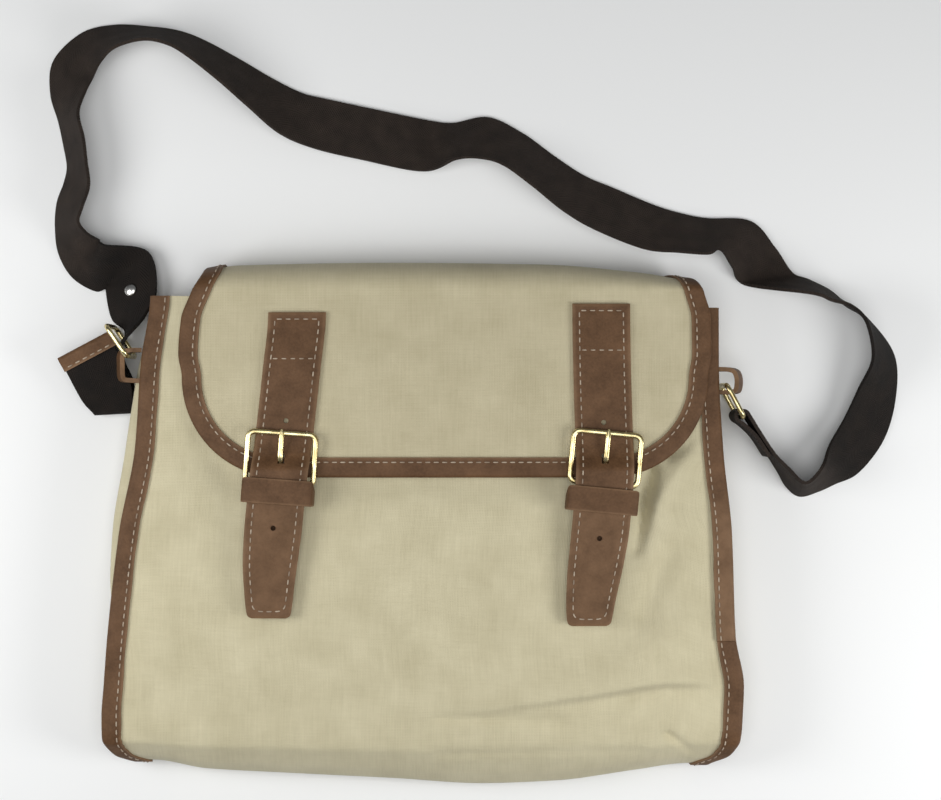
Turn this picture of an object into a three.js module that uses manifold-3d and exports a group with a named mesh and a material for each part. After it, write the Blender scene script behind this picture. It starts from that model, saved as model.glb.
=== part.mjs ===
// Canvas crossbody bag with leather trim, lying on its back with its webbing strap laid beside it.
// Millimetres: X runs across the bag, Y runs up it, Z stands up from the surface that it lies on.
// The origin is on the back's outer face, under the middle of the body.

import * as THREE from 'three';
import { mergeVertices } from 'three/addons/utils/BufferGeometryUtils.js';
import Module from 'manifold-3d';

const wasm = await Module();
wasm.setup();

// Thicknesses and gaps
const CANVAS = 1.2;
const TAPE = 1.1;
const BELT = 2.2;
const WEBBING = 2;
const SEAT = 0.3;
const SEAM = 0.3;

// Body: height of the mouth at its two ends, flat seam beside each edge, and the binding's width
const MOUTH = { left: 139, right: 132 };
const FRONT_FOLD_Y = -116;
const FLANGE_SHARE = 0.926;
const CANVAS_EDGE_SHARE = 0.987;
const BINDING_WIDTH = 11.7;
const BACK_INSET = 6;
const BACK_RISE = SEAM + TAPE;
const TAIL_RISE = CANVAS + SEAT;

// Outer line of the two side seams at heights up the bag
const SIDE_LINE = [
  { y: -138, left: -177, right: 174.5 },
  { y: -131, left: -186.2, right: 183.2 },
  { y: -120, left: -189.2, right: 186.2 },
  { y: -108, left: -189.2, right: 187 },
  { y: -90, left: -187.8, right: 187.6 },
  { y: -60, left: -185.4, right: 182.6 },
  { y: 0, left: -178.6, right: 180.4 },
  { y: 50, left: -169.2, right: 175.2 },
  { y: 100, left: -165.8, right: 172.8 },
  { y: 140, left: -160.4, right: 172.8 },
];

// Height of the front's edge seam, and of its crown above that, up the bag
const FRONT_RISE = [
  { y: -150, edge: 32, crown: 5 },
  { y: -110, edge: 35, crown: 7.5 },
  { y: -60, edge: 37.5, crown: 10 },
  { y: 20, edge: 38, crown: 11 },
  { y: 90, edge: 37.5, crown: 10 },
  { y: 145, edge: 36, crown: 8 },
];

// How far down the bag the bottom bulges, across the bag from seam to seam
const BOTTOM_REACH = [
  { across: -1, reach: -136 },
  { across: -0.8, reach: -141.2 },
  { across: -0.5, reach: -143.8 },
  { across: -0.1, reach: -147 },
  { across: 0.22, reach: -150 },
  { across: 0.5, reach: -148.4 },
  { across: 0.8, reach: -142 },
  { across: 1, reach: -138 },
];

// Section of the bottom from the front's fold to the back: outward and downward shares of the way
const BOTTOM_SECTION = [
  { step: 0, out: 0, drop: 0 },
  { step: 0.2, out: 0.3, drop: 0.05 },
  { step: 0.36, out: 0.52, drop: 0.19 },
  { step: 0.55, out: 0.82, drop: 0.45 },
  { step: 0.75, out: 1, drop: 0.72 },
  { step: 0.9, out: 0.9, drop: 0.93 },
  { step: 1, out: 0.68, drop: 1 },
];

// Steps along the body sheet's length: 0 to 1 down the front, to 2 round the bottom, to 3 up the back
const FRONT_STEPS = 12;
const BOTTOM_STEPS = [1.2, 1.36, 1.46, 1.55, 1.65, 1.75, 1.83, 1.9];
const BACK_STEPS = [2, 2.2, 2.4, 2.6, 2.75, 2.85, 2.905, 3];

// Main folds of the front, each a soft ridge or valley along a straight line
const FRONT_FOLDS = [
  { x1: 18, y1: -105, x2: 165, y2: -87, width: 9, height: -3 },
  { x1: 152, y1: -70, x2: 170, y2: -42, width: 9, height: -2.5 },
  { x1: 131, y1: 44, x2: 131, y2: -2, width: 10, height: -3 },
  { x1: 157, y1: 34, x2: 156, y2: 18, width: 9, height: 2.2 },
];

// Section of a side panel across its depth: distance outside the seam line, and depth from the seam
const SIDE_SECTION = [
  { out: -2.4, depth: 0, bulge: 0 },
  { out: -13.2, depth: 0, bulge: 0 },
  { out: -15.4, depth: 3.4, bulge: 0 },
  { out: -11, depth: 7.4, bulge: 0.3 },
  { out: -3.5, depth: 11.8, bulge: 0.75 },
];
const SIDE_FULL_DEPTH = 26;
const SIDE_OPENING = { from: 26.5, to: 30, tuck: -31 };

// How far each side panel bulges past its front binding, up the bag
const SIDE_BULGE = [
  { y: -130, left: 0, right: 0 },
  { y: -60, left: 0, right: 0 },
  { y: -20, left: 3, right: 0.5 },
  { y: 45, left: 5.5, right: 1 },
  { y: 90, left: 3.5, right: 0.5 },
  { y: 140, left: 0, right: 0 },
];

// Flap: bottom edge, corner radius, fold over the mouth, tail sewn to the back
const FLAP_BOTTOM = 33;
const FLAP_CORNER = 58;
const FLAP_FOLD_FRONT = 142;
const FLAP_FOLD_BACK = 143.5;
const FLAP_FOLD_LENGTH = 56;
const FLAP_TAIL_END = 112;
const FLAP_LIFT = SEAT + TAPE + SEAM + CANVAS;
const FLAP_EDGE_INSET = 1.5;

// Outer line of the flap's two sides along its length, measured from the bottom edge over the fold
const FLAP_LINE = [
  { along: 91, left: -141, right: 166 },
  { along: 105, left: -143.2, right: 168 },
  { along: 125, left: -141.8, right: 167.8 },
  { along: 142, left: -135.5, right: 163.5 },
  { along: 160, left: -130, right: 160 },
  { along: 200, left: -128, right: 149 },
  { along: 240, left: -128, right: 149 },
];

// How far up the bag the fold over the mouth reaches, across the bag
const FLAP_REACH = [
  { x: -140, reach: 153.5 },
  { x: -110, reach: 157.5 },
  { x: -20, reach: 159 },
  { x: 70, reach: 158 },
  { x: 125, reach: 153.5 },
  { x: 165, reach: 148.5 },
];

// Closure straps: width, holes, and the way of each centre line down the front
const BELT_WIDTH = 33.6;
const BELT_HOLE = 1.7;
const PRONG_SLOT = { y: 41.4, length: 11, wide: 4.9 };
const CLOSURES = [
  {
    side: 'left',
    line: [
      { y: 129, x: -73.4 },
      { y: 95, x: -76.5 },
      { y: 61, x: -80.2 },
      { y: 30, x: -83.8 },
      { y: 5, x: -86.5 },
      { y: -28, x: -89.2 },
      { y: -52, x: -89.6 },
    ],
    holes: [66, 21, 4],
    tip: -48.5,
    turn: 4,
    keeper: -18.6,
  },
  {
    side: 'right',
    line: [
      { y: 134, x: 103.3 },
      { y: 95, x: 103.7 },
      { y: 61, x: 104.7 },
      { y: 45, x: 105.2 },
      { y: 30, x: 104.6 },
      { y: 5, x: 102.6 },
      { y: -56, x: 96 },
    ],
    holes: [65, 21, -2],
    tip: -53,
    turn: 5.5,
    keeper: -23.6,
  },
];

// Height of a closure strap's underside above the front, and share of its half width, along its length
const BELT_LIE = [
  { y: 140, lift: 3.2 },
  { y: 60, lift: 3.2 },
  { y: 54, lift: 3.5 },
  { y: 46.5, lift: 5.2 },
  { y: 37, lift: 10.9 },
  { y: 30, lift: 11.1 },
  { y: 20, lift: 10 },
  { y: -10, lift: 7 },
  { y: -56, lift: 4.6 },
];
const BELT_TAPER = [
  { up: 0, share: 0.62 },
  { up: 3, share: 0.76 },
  { up: 16, share: 0.86 },
  { up: 36, share: 0.96 },
  { up: 56, share: 1 },
  { up: 200, share: 1 },
];

// Buckle: frame size inside its wire, heights of its two bars above the front, and its place
const BUCKLE_Y = 44;
const BUCKLE = { width: 39.6, height: 29.6, corner: 4, wire: 1.6, topLift: 7.4, barLift: 6.8 };
const PRONG = { halfWidth: 1.6, halfThick: 0.9, clear: 0.25 };
const KEEPER = { width: 38.4, floor: 1.9, ceiling: 13.8, wall: 1.6, height: 14, lean: 0.45 };
const ANCHOR = { width: 25, slot: 5, wall: 1.6, foot: 0.3, plate: 3.2, length: 44, rise: 2.5 };

// Side rings of square loops of wire that stand on edge, and the leather tabs that hold them
const RING = { width: 21, tall: 38.5, corner: 4, wire: 1.5 };
const TAB = { wall: 2.6, low: 20, tall: 12.6 };
const RINGS = [
  {
    side: 'left', x: -173.8, y: 103.9, turn: 124,
    tab: [[-167.6, 108.6], [-173, 108.6], [-178, 107.8], [-180.1, 104.6], [-180.2, 98], [-179.9, 91.6], [-178, 88.8], [-173, 88.2], [-168.6, 88]],
  },
  {
    side: 'right', x: 177.2, y: 86.6, turn: -62,
    tab: [[172.1, 81.4], [179, 81.2], [184.6, 82], [186.4, 85], [186.6, 91], [184.6, 95.6], [180, 97.2], [172.1, 97.4]],
  },
];

// Webbing strap laid on the surface: centre line, lean of its width from flat, and lift off the surface.
// At a crease, turn is how far its width is turned from square to the path, and half is half its width.
const STRAP_WIDTH = 32;
const STRAP_ROUTE = [
  { x: 202.8, y: 45, lean: 90, lift: 2.2 },
  { x: 195.2, y: 56.4, lean: 90, lift: 3.2 },
  { x: 188, y: 63.4, lean: 90, lift: 3.6 },
  { x: 183.8, y: 66.4, lean: 90, lift: 3.6 },
  { x: 183, y: 69.6, lean: 90, lift: 3.6 },
  { x: 185.4, y: 71.6, lean: 90, lift: 3.6 },
  { x: 188.8, y: 71.4, lean: 90, lift: 3.6 },
  { x: 191, y: 68.6, lean: 90, lift: 3.6 },
  { x: 197.6, y: 58, lean: 90, lift: 2.6 },
  { x: 206, y: 45.4, lean: 89, lift: 1 },
  { x: 213.5, y: 36, lean: 84, lift: 0.3 },
  { x: 219, y: 28.6, lean: 80, lift: 0.3 },
  { x: 225, y: 25.2, lean: 76, lift: 0.3 },
  { x: 233, y: 28.6, lean: 70, lift: 0.3 },
  { x: 240.5, y: 34.4, lean: 60, lift: 0.3 },
  { x: 250, y: 43.4, lean: 37, lift: 0.3 },
  { x: 262, y: 60.8, lean: 29, lift: 0.3 },
  { x: 269.4, y: 82, lean: 39, lift: 0.3 },
  { x: 272.4, y: 103.6, lean: 60, lift: 0.3 },
  { x: 262.5, y: 125, lean: 80, lift: 0.3 },
  { x: 252, y: 134, lean: 86, lift: 0.3 },
  { x: 241, y: 140, lean: 77, lift: 0.3 },
  { x: 229.5, y: 145, lean: 74, lift: 0.3 },
  { x: 205.7, y: 150.7, lean: 8, lift: 0.3, turn: -44, half: 15.3 },
  { x: 196.5, y: 162.8, lean: 20, lift: 0.3, turn: -14, half: 15.6 },
  { x: 185.5, y: 175.6, lean: 34, lift: 0.3, turn: -23, half: 16 },
  { x: 168, y: 175.4, lean: 47, lift: 0.3 },
  { x: 152, y: 177.4, lean: 42, lift: 0.3 },
  { x: 134, y: 181, lean: 32, lift: 0.3 },
  { x: 107, y: 192, lean: 30, lift: 0.3 },
  { x: 89, y: 201, lean: 38, lift: 0.3 },
  { x: 71, y: 214, lean: 44, lift: 0.3 },
  { x: 53, y: 227, lean: 44, lift: 0.3 },
  { x: 36, y: 234, lean: 38, lift: 0.3 },
  { x: 18, y: 232, lean: 44, lift: 0.3 },
  { x: 0, y: 230, lean: 16, lift: 0.3 },
  { x: -35, y: 237, lean: 12, lift: 0.3 },
  { x: -62, y: 243, lean: 16, lift: 0.3 },
  { x: -80, y: 249, lean: 30, lift: 0.3 },
  { x: -98, y: 261, lean: 46, lift: 0.3 },
  { x: -116, y: 274, lean: 56, lift: 0.3 },
  { x: -135, y: 286.4, lean: 64, lift: 0.3 },
  { x: -149, y: 293, lean: 69, lift: 0.3 },
  { x: -165, y: 295.6, lean: 70, lift: 0.3 },
  { x: -184, y: 294, lean: 59, lift: 0.3 },
  { x: -198.6, y: 287.6, lean: 43, lift: 0.3 },
  { x: -209.6, y: 275, lean: 32, lift: 0.3 },
  { x: -212.2, y: 261, lean: 43, lift: 0.3 },
  { x: -211.4, y: 246, lean: 61, lift: 0.3 },
  { x: -208.2, y: 231, lean: 61, lift: 0.3 },
  { x: -206.4, y: 218, lean: 62, lift: 0.3 },
  { x: -206.8, y: 206, lean: 55, lift: 0.3 },
  { x: -210.8, y: 194, lean: 54, lift: 0.3 },
  { x: -212.4, y: 182.4, lean: 58, lift: 0.3 },
  { x: -209, y: 171, lean: 46, lift: 0.3 },
  { x: -201.6, y: 162, lean: 30, lift: 0.3 },
  { x: -193, y: 156.6, lean: 34, lift: 0.4 },
  { x: -177.3, y: 156, lean: 8, lift: 3, turn: -8, half: 16.2 },
  { x: -175, y: 143.4, lean: 16, lift: 3.4 },
];

// The webbing through the left ring, where it is bunched, and its tail, which doubles back to its end cap:
// the middle of each row, the way and the slope of its width, and half its width
const STRAP_TAIL = [
  { x: -176.4, y: 127.5, z: 10.5, across: 3, rise: 36, half: 13.2 },
  { x: -176.4, y: 119.4, z: 12, across: -16, rise: 70, half: 9 },
  { x: -179.4, y: 112.8, z: 12, across: -40, rise: 84, half: 7 },
  { x: -184.6, y: 107.2, z: 8.6, across: -18, rise: 52, half: 8 },
  { x: -188.4, y: 99, z: 4, across: 0, rise: 14, half: 10 },
  { x: -188.4, y: 89, z: 1.7, across: 4, rise: 1, half: 13.5 },
  { x: -186.8, y: 78, z: 1.5, across: 5, rise: 0, half: 13.5 },
  { x: -186, y: 72.8, z: 3, across: 3, rise: 0, half: 11.5 },
  { x: -185.8, y: 70.4, z: 6.6, across: 3, rise: 0, half: 11 },
  { x: -186.3, y: 72.8, z: 10.4, across: 7, rise: 0, half: 12 },
  { x: -189, y: 82.5, z: 15, across: 18, rise: 0, half: 15.2 },
  { x: -196.2, y: 99, z: 19.4, across: 28, rise: 0, half: 16 },
  { x: -201, y: 109, z: 22, across: 28, rise: 0, half: 16 },
];
const CAP = { width: 33.8, depth: 9, slot: 2.6, wall: 1.2, inside: 7.4 };
const RIVET = { radius: 3.8, high: 1.8, seat: 1.1, row: STRAP_ROUTE.length - 1 };

const CREAM = 0xc2b895;
const BROWN = 0x5f4836;
const BRASS = 0xb7a468;
const DARK = 0x2a2420;
const NICKEL = 0xc9c7c0;

const FABRIC_FINISH = { roughness: 0.92, metalness: 0 };
const LEATHER_FINISH = { roughness: 0.6, metalness: 0 };
const METAL_FINISH = { roughness: 0.3, metalness: 1 };

// Value of a table's column at a place between its rows, by a cubic that doesn't overshoot the rows.
function tableCurve(rows, key, column) {
  const pitch = (i) => (rows[i + 1][column] - rows[i][column]) / (rows[i + 1][key] - rows[i][key]);
  const slopes = rows.map((row, i) => {
    if (i === 0 || i === rows.length - 1) return 0;
    const before = pitch(i - 1);
    const after = pitch(i);
    return before * after <= 0 ? 0 : (2 * before * after) / (before + after);
  });
  const rising = rows[rows.length - 1][key] > rows[0][key];
  return (place) => {
    const low = Math.min(rows[0][key], rows[rows.length - 1][key]);
    const high = Math.max(rows[0][key], rows[rows.length - 1][key]);
    const at = THREE.MathUtils.clamp(place, low, high);
    let i = 0;
    while (i < rows.length - 2 && (rising ? at > rows[i + 1][key] : at < rows[i + 1][key])) i += 1;
    const span = rows[i + 1][key] - rows[i][key];
    const t = (at - rows[i][key]) / span;
    const rest = 1 - t;
    return rows[i][column] * rest * rest * (1 + 2 * t) + rows[i + 1][column] * t * t * (3 - 2 * t)
      + span * t * rest * (slopes[i] * rest - slopes[i + 1] * t);
  };
}

const lerp = THREE.MathUtils.lerp;
const smooth = THREE.MathUtils.smoothstep;
const radians = THREE.MathUtils.degToRad;
const vector = (x, y, z) => new THREE.Vector3(x, y, z);

// A geometry from points and triangles, turned inside out if its volume comes out negative.
function solidFrom(points, triangles) {
  const volume = triangles.reduce((sum, [a, b, c]) => {
    const normal = new THREE.Vector3().crossVectors(points[b], points[c]);
    return sum + points[a].dot(normal);
  }, 0);
  const faces = volume < 0 ? triangles.map(([a, b, c]) => [a, c, b]) : triangles;
  const geometry = new THREE.BufferGeometry();
  const positions = points.flatMap((point) => [point.x, point.y, point.z]);
  geometry.setAttribute('position', new THREE.Float32BufferAttribute(positions, 3));
  geometry.setIndex(faces.flat());
  return geometry;
}

// A closed sheet: a grid of points is one face, and the other lies at the thickness behind it.
function sheet(grid, thickness) {
  const rows = grid.length;
  const columns = grid[0].length;
  const at = (i, j) => i * columns + j;
  const clampRow = (i) => THREE.MathUtils.clamp(i, 0, rows - 1);
  const clampColumn = (j) => THREE.MathUtils.clamp(j, 0, columns - 1);
  const behind = grid.map((row, i) => row.map((point, j) => {
    const along = grid[clampRow(i + 1)][j].clone().sub(grid[clampRow(i - 1)][j]);
    const across = grid[i][clampColumn(j + 1)].clone().sub(grid[i][clampColumn(j - 1)]);
    const normal = along.cross(across).normalize();
    return point.clone().addScaledVector(normal, -thickness);
  }));
  const points = [...grid.flat(), ...behind.flat()];
  const shift = rows * columns;
  const triangles = [];
  const quad = (a, b, c, d) => triangles.push([a, b, c], [a, c, d]);
  for (let i = 0; i < rows - 1; i += 1) {
    for (let j = 0; j < columns - 1; j += 1) {
      quad(at(i, j), at(i + 1, j), at(i + 1, j + 1), at(i, j + 1));
      quad(at(i, j) + shift, at(i, j + 1) + shift, at(i + 1, j + 1) + shift, at(i + 1, j) + shift);
    }
    const last = columns - 1;
    quad(at(i, 0) + shift, at(i + 1, 0) + shift, at(i + 1, 0), at(i, 0));
    quad(at(i, last), at(i + 1, last), at(i + 1, last) + shift, at(i, last) + shift);
  }
  for (let j = 0; j < columns - 1; j += 1) {
    const last = rows - 1;
    quad(at(0, j), at(0, j + 1), at(0, j + 1) + shift, at(0, j) + shift);
    quad(at(last, j) + shift, at(last, j + 1) + shift, at(last, j + 1), at(last, j));
  }
  return solidFrom(points, triangles);
}

// A solid through rings of points, closed on itself or with flat ends filled from the ring's outline.
function loft(rings, outline) {
  const size = rings[0].length;
  const triangles = [];
  const steps = outline ? rings.length - 1 : rings.length;
  for (let i = 0; i < steps; i += 1) {
    const here = i * size;
    const next = ((i + 1) % rings.length) * size;
    for (let j = 0; j < size; j += 1) {
      const k = (j + 1) % size;
      triangles.push([here + j, here + k, next + k], [here + j, next + k, next + j]);
    }
  }
  if (outline) {
    const end = (rings.length - 1) * size;
    const turn = THREE.ShapeUtils.isClockWise(outline) ? 1 : -1;
    THREE.ShapeUtils.triangulateShape(outline, []).forEach(([a, b, c]) => {
      const cap = turn > 0 ? [a, b, c] : [a, c, b];
      triangles.push(cap, [cap[0] + end, cap[2] + end, cap[1] + end]);
    });
  }
  return solidFrom(rings.flat(), triangles);
}

function manifoldOf(geometry) {
  const bare = geometry.clone();
  bare.deleteAttribute('normal');
  bare.deleteAttribute('uv');
  const merged = mergeVertices(bare, 1e-4);
  const mesh = new wasm.Mesh({
    numProp: 3,
    vertProperties: new Float32Array(merged.attributes.position.array),
    triVerts: new Uint32Array(merged.index.array),
  });
  return new wasm.Manifold(mesh);
}

// One geometry with the others cut out of it.
function cut(geometry, tools) {
  const left = tools.reduce((solid, tool) => solid.subtract(manifoldOf(tool)), manifoldOf(geometry));
  const mesh = left.getMesh();
  const result = new THREE.BufferGeometry();
  result.setAttribute('position', new THREE.Float32BufferAttribute(mesh.vertProperties, 3));
  result.setIndex([...mesh.triVerts]);
  return result;
}

const bag = new THREE.Group();

function addPiece(name, geometry, color, finish, parent = bag) {
  const mesh = new THREE.Mesh(geometry, new THREE.MeshStandardMaterial({ color, ...finish }));
  mesh.name = name;
  parent.add(mesh);
  return mesh;
}

// Body surface: the front, the bottom and the back as one sheet

const leftLine = tableCurve(SIDE_LINE, 'y', 'left');
const rightLine = tableCurve(SIDE_LINE, 'y', 'right');
const edgeRise = tableCurve(FRONT_RISE, 'y', 'edge');
const crownRise = tableCurve(FRONT_RISE, 'y', 'crown');
const bottomReach = tableCurve(BOTTOM_REACH, 'across', 'reach');
const bottomOut = tableCurve(BOTTOM_SECTION, 'step', 'out');
const bottomDrop = tableCurve(BOTTOM_SECTION, 'step', 'drop');

const middleLine = (y) => (leftLine(y) + rightLine(y)) / 2;
const halfLine = (y) => (rightLine(y) - leftLine(y)) / 2;

// Height that a fold adds at a point: a bell across its line, fading past its two ends.
function foldHeight(fold, x, y) {
  const line = new THREE.Vector2(fold.x2 - fold.x1, fold.y2 - fold.y1);
  const from = new THREE.Vector2(x - fold.x1, y - fold.y1);
  const share = THREE.MathUtils.clamp(from.dot(line) / line.lengthSq(), 0, 1);
  const away = from.addScaledVector(line, -share).length() / fold.width;
  return fold.height * Math.exp(-away * away);
}

// Share of the way from the middle of the front to its edge seams, which lie flat beyond 1.
const frontShare = (x, y) => Math.min(Math.abs(x - middleLine(y)) / halfLine(y) / FLANGE_SHARE, 1);

const frontHeight = (x, y) => edgeRise(y) + crownRise(y) * (1 - frontShare(x, y) ** 2.5);

function foldedHeight(x, y) {
  const folds = FRONT_FOLDS.reduce((sum, fold) => sum + foldHeight(fold, x, y), 0);
  return frontHeight(x, y) + folds * (1 - frontShare(x, y) ** 8);
}

// The back lies flat, and rises a little into its edge bindings and over the flap's sewn tail.
function backHeight(across, y) {
  const edge = BACK_RISE * smooth(Math.abs(across), 0.82, FLANGE_SHARE);
  const tail = TAIL_RISE * smooth(y, FLAP_TAIL_END - 14, FLAP_TAIL_END - 2);
  return Math.max(edge, tail);
}

const mouthY = (share) => lerp(MOUTH.left, MOUTH.right, (share + 1) / 2);

// Height up the bag of the body sheet at a step along its length.
function bodyY(across, step) {
  const share = THREE.MathUtils.clamp(across / FLANGE_SHARE, -1, 1);
  const reach = FRONT_FOLD_Y - bottomReach(share);
  if (step <= 1) return lerp(mouthY(share), FRONT_FOLD_Y, step);
  if (step <= 2) return FRONT_FOLD_Y - reach * bottomOut(step - 1);
  return lerp(FRONT_FOLD_Y - reach * bottomOut(1), mouthY(share), step - 2);
}

function bodyPoint(across, step) {
  const y = bodyY(across, step);
  const lineY = bodyY(Math.sign(across) || 1, step);
  const inset = BACK_INSET * smooth(step, 1.2, 2);
  const x = middleLine(lineY) + across * (halfLine(lineY) - inset);
  if (step <= 1) return vector(x, y, foldedHeight(x, y));
  const top = foldedHeight(x, FRONT_FOLD_Y);
  const low = backHeight(across, y);
  if (step <= 2) return vector(x, y, lerp(top, low, bottomDrop(step - 1)));
  return vector(x, y, low);
}

const range = (from, to, count) => Array.from({ length: count + 1 }, (_, i) => lerp(from, to, i / count));

const bodySteps = [...range(0, 1, FRONT_STEPS), ...BOTTOM_STEPS, ...BACK_STEPS];

// The direction out of the body sheet at its seam, from the steps on either side.
function seamNormal(across, step) {
  const after = bodySteps.find((other) => other > step) ?? step;
  const before = bodySteps.findLast((other) => other < step) ?? step;
  const along = bodyPoint(across, after).sub(bodyPoint(across, before));
  return along.cross(vector(1, 0, 0)).normalize();
}

function bodyPanel() {
  const inner = range(-FLANGE_SHARE, FLANGE_SHARE, 16);
  const columns = [-CANVAS_EDGE_SHARE, ...inner, CANVAS_EDGE_SHARE];
  return sheet(bodySteps.map((step) => columns.map((across) => bodyPoint(across, step))), CANVAS);
}

// Side panels: from the front seam in under the binding, out in a bulge, and back in to the back seam

const sideBulge = {
  left: tableCurve(SIDE_BULGE, 'y', 'left'),
  right: tableCurve(SIDE_BULGE, 'y', 'right'),
};

// A point of the seam line on the straight stretch between two steps of the body sheet.
function seamPoint(across, step) {
  const next = bodySteps.findIndex((other) => other >= step);
  const before = bodySteps[Math.max(next - 1, 0)];
  const share = next > 0 ? (step - before) / (bodySteps[next] - before) : 0;
  return bodyPoint(across, before).lerp(bodyPoint(across, bodySteps[next]), share);
}

function sidePanel(side) {
  const sign = side === 'left' ? -1 : 1;
  const half = BOTTOM_STEPS.length / 2;
  const frontSteps = [...range(0, 1, FRONT_STEPS), ...BOTTOM_STEPS.slice(0, half - 1)];
  const backSteps = [...range(3, 2, FRONT_STEPS), ...BOTTOM_STEPS.slice(half + 1).reverse()];
  const inset = CANVAS + SEAM + 0.1;
  const grid = frontSteps.map((step, i) => {
    const front = bodyPoint(sign, step);
    front.addScaledVector(seamNormal(sign, step), -inset);
    const back = seamPoint(sign, backSteps[i]);
    back.addScaledVector(seamNormal(sign, backSteps[i]), -inset);
    const depth = front.distanceTo(back);
    const scale = Math.min(1, depth / SIDE_FULL_DEPTH);
    const bulge = sideBulge[side](front.y);
    const open = smooth(front.z - back.z, SIDE_OPENING.from, SIDE_OPENING.to);
    const place = (row, share) => {
      const point = front.clone().lerp(back, share);
      const full = row.out + bulge * row.bulge;
      const out = row.depth > 0 ? lerp(SIDE_OPENING.tuck, full, open) : row.out;
      return point.add(vector(sign * out, 0, 0));
    };
    const upper = SIDE_SECTION.map((row) => place(row, (row.depth * scale) / depth));
    const middle = place({ out: 0, depth: depth / 2, bulge: 1 }, 0.5);
    const lower = SIDE_SECTION.map((row) => place(row, 1 - (row.depth * scale) / depth)).reverse();
    const section = [...upper, middle, ...lower];
    return sign < 0 ? section : section.reverse();
  });
  return sheet(grid, CANVAS);
}

// Folded leather tape in section: outward from its free edges, and up from the sheet's outer face
function tapeSection(width, layers) {
  const top = SEAM + TAPE;
  const low = -layers - SEAM;
  return [
    new THREE.Vector2(-width, top),
    new THREE.Vector2(-0.7, top),
    new THREE.Vector2(0, top - 0.7),
    new THREE.Vector2(0, low - TAPE + 0.7),
    new THREE.Vector2(-0.7, low - TAPE),
    new THREE.Vector2(-width, low - TAPE),
    new THREE.Vector2(-width, low),
    new THREE.Vector2(-TAPE, low),
    new THREE.Vector2(-TAPE, SEAM),
    new THREE.Vector2(-width, SEAM),
  ];
}

function sideBinding(side) {
  const sign = side === 'left' ? -1 : 1;
  const outline = tapeSection(BINDING_WIDTH, 2 * CANVAS + SEAM);
  const rings = bodySteps.map((step) => {
    const edge = bodyPoint(sign, step);
    const normal = seamNormal(sign, step);
    return outline.map(({ x, y }) => edge.clone().add(vector(sign * x, 0, 0)).addScaledVector(normal, y));
  });
  return loft(rings, outline);
}

// Flap surface: along its length from the bottom edge, up the front, over the fold and down the tail

const flapLeft = tableCurve(FLAP_LINE, 'along', 'left');
const flapRight = tableCurve(FLAP_LINE, 'along', 'right');
const flapReach = tableCurve(FLAP_REACH, 'x', 'reach');
const FLAP_CORNER_Y = FLAP_BOTTOM + FLAP_CORNER;
const FLAP_TAIL_START = FLAP_FOLD_FRONT + FLAP_FOLD_LENGTH;
const FLAP_LENGTH = FLAP_TAIL_START + FLAP_FOLD_BACK - FLAP_TAIL_END;

// Height of what lies over the front: a rounder crown that climbs onto the right-hand binding.
function layHeight(x, y) {
  const across = Math.abs(x - middleLine(y)) / halfLine(y);
  const climb = (SEAM + TAPE) * smooth(x, rightLine(y) - 80, rightLine(y) - 7);
  return edgeRise(y) + crownRise(y) * (1 - across ** 2.5) + climb;
}

const flapHeight = (x, y) => layHeight(x, y) + FLAP_LIFT;

function flapPoint(x, along) {
  if (along <= FLAP_FOLD_FRONT) return vector(x, along, flapHeight(x, along));
  if (along >= FLAP_TAIL_START) return vector(x, FLAP_FOLD_BACK - (along - FLAP_TAIL_START), 0);
  const turn = (along - FLAP_FOLD_FRONT) / FLAP_FOLD_LENGTH;
  const straight = lerp(FLAP_FOLD_FRONT, FLAP_FOLD_BACK, turn);
  const bulge = flapReach(x) - (FLAP_FOLD_FRONT + FLAP_FOLD_BACK) / 2;
  const top = flapHeight(x, FLAP_FOLD_FRONT);
  const angle = Math.PI * turn;
  return vector(x, straight + bulge * Math.sin(angle), top * (0.5 + 0.5 * Math.cos(angle)));
}

function flapNormal(x, along) {
  const reach = 0.2;
  const up = flapPoint(x, along + reach).sub(flapPoint(x, along - reach));
  const over = flapPoint(x + reach, along).sub(flapPoint(x - reach, along));
  return over.cross(up).normalize();
}

const FLAP_CORNER_STEPS = 7;
const flapSideSteps = range(FLAP_CORNER_Y, FLAP_FOLD_FRONT, 4);
const flapFoldSteps = range(FLAP_FOLD_FRONT, FLAP_TAIL_START, 8).slice(1, -1);

function flapPanel() {
  const inset = FLAP_EDGE_INSET;
  const radius = FLAP_CORNER - inset;
  const corner = range(90, 0, FLAP_CORNER_STEPS).map((angle) => ({
    along: FLAP_CORNER_Y - radius * Math.sin(radians(angle)),
    shrink: inset + radius * (1 - Math.cos(radians(angle))),
  }));
  const straight = [...flapSideSteps.slice(1), ...flapFoldSteps, FLAP_TAIL_START, FLAP_LENGTH];
  const rows = [...corner, ...straight.map((along) => ({ along, shrink: inset }))];
  const columns = range(0, 1, 17);
  const grid = rows.map(({ along, shrink }) => columns.map((share) => {
    const left = flapLeft(along) + shrink;
    const right = flapRight(along) - shrink;
    return flapPoint(lerp(left, right, share), along);
  }));
  return sheet(grid.reverse(), CANVAS);
}

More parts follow.
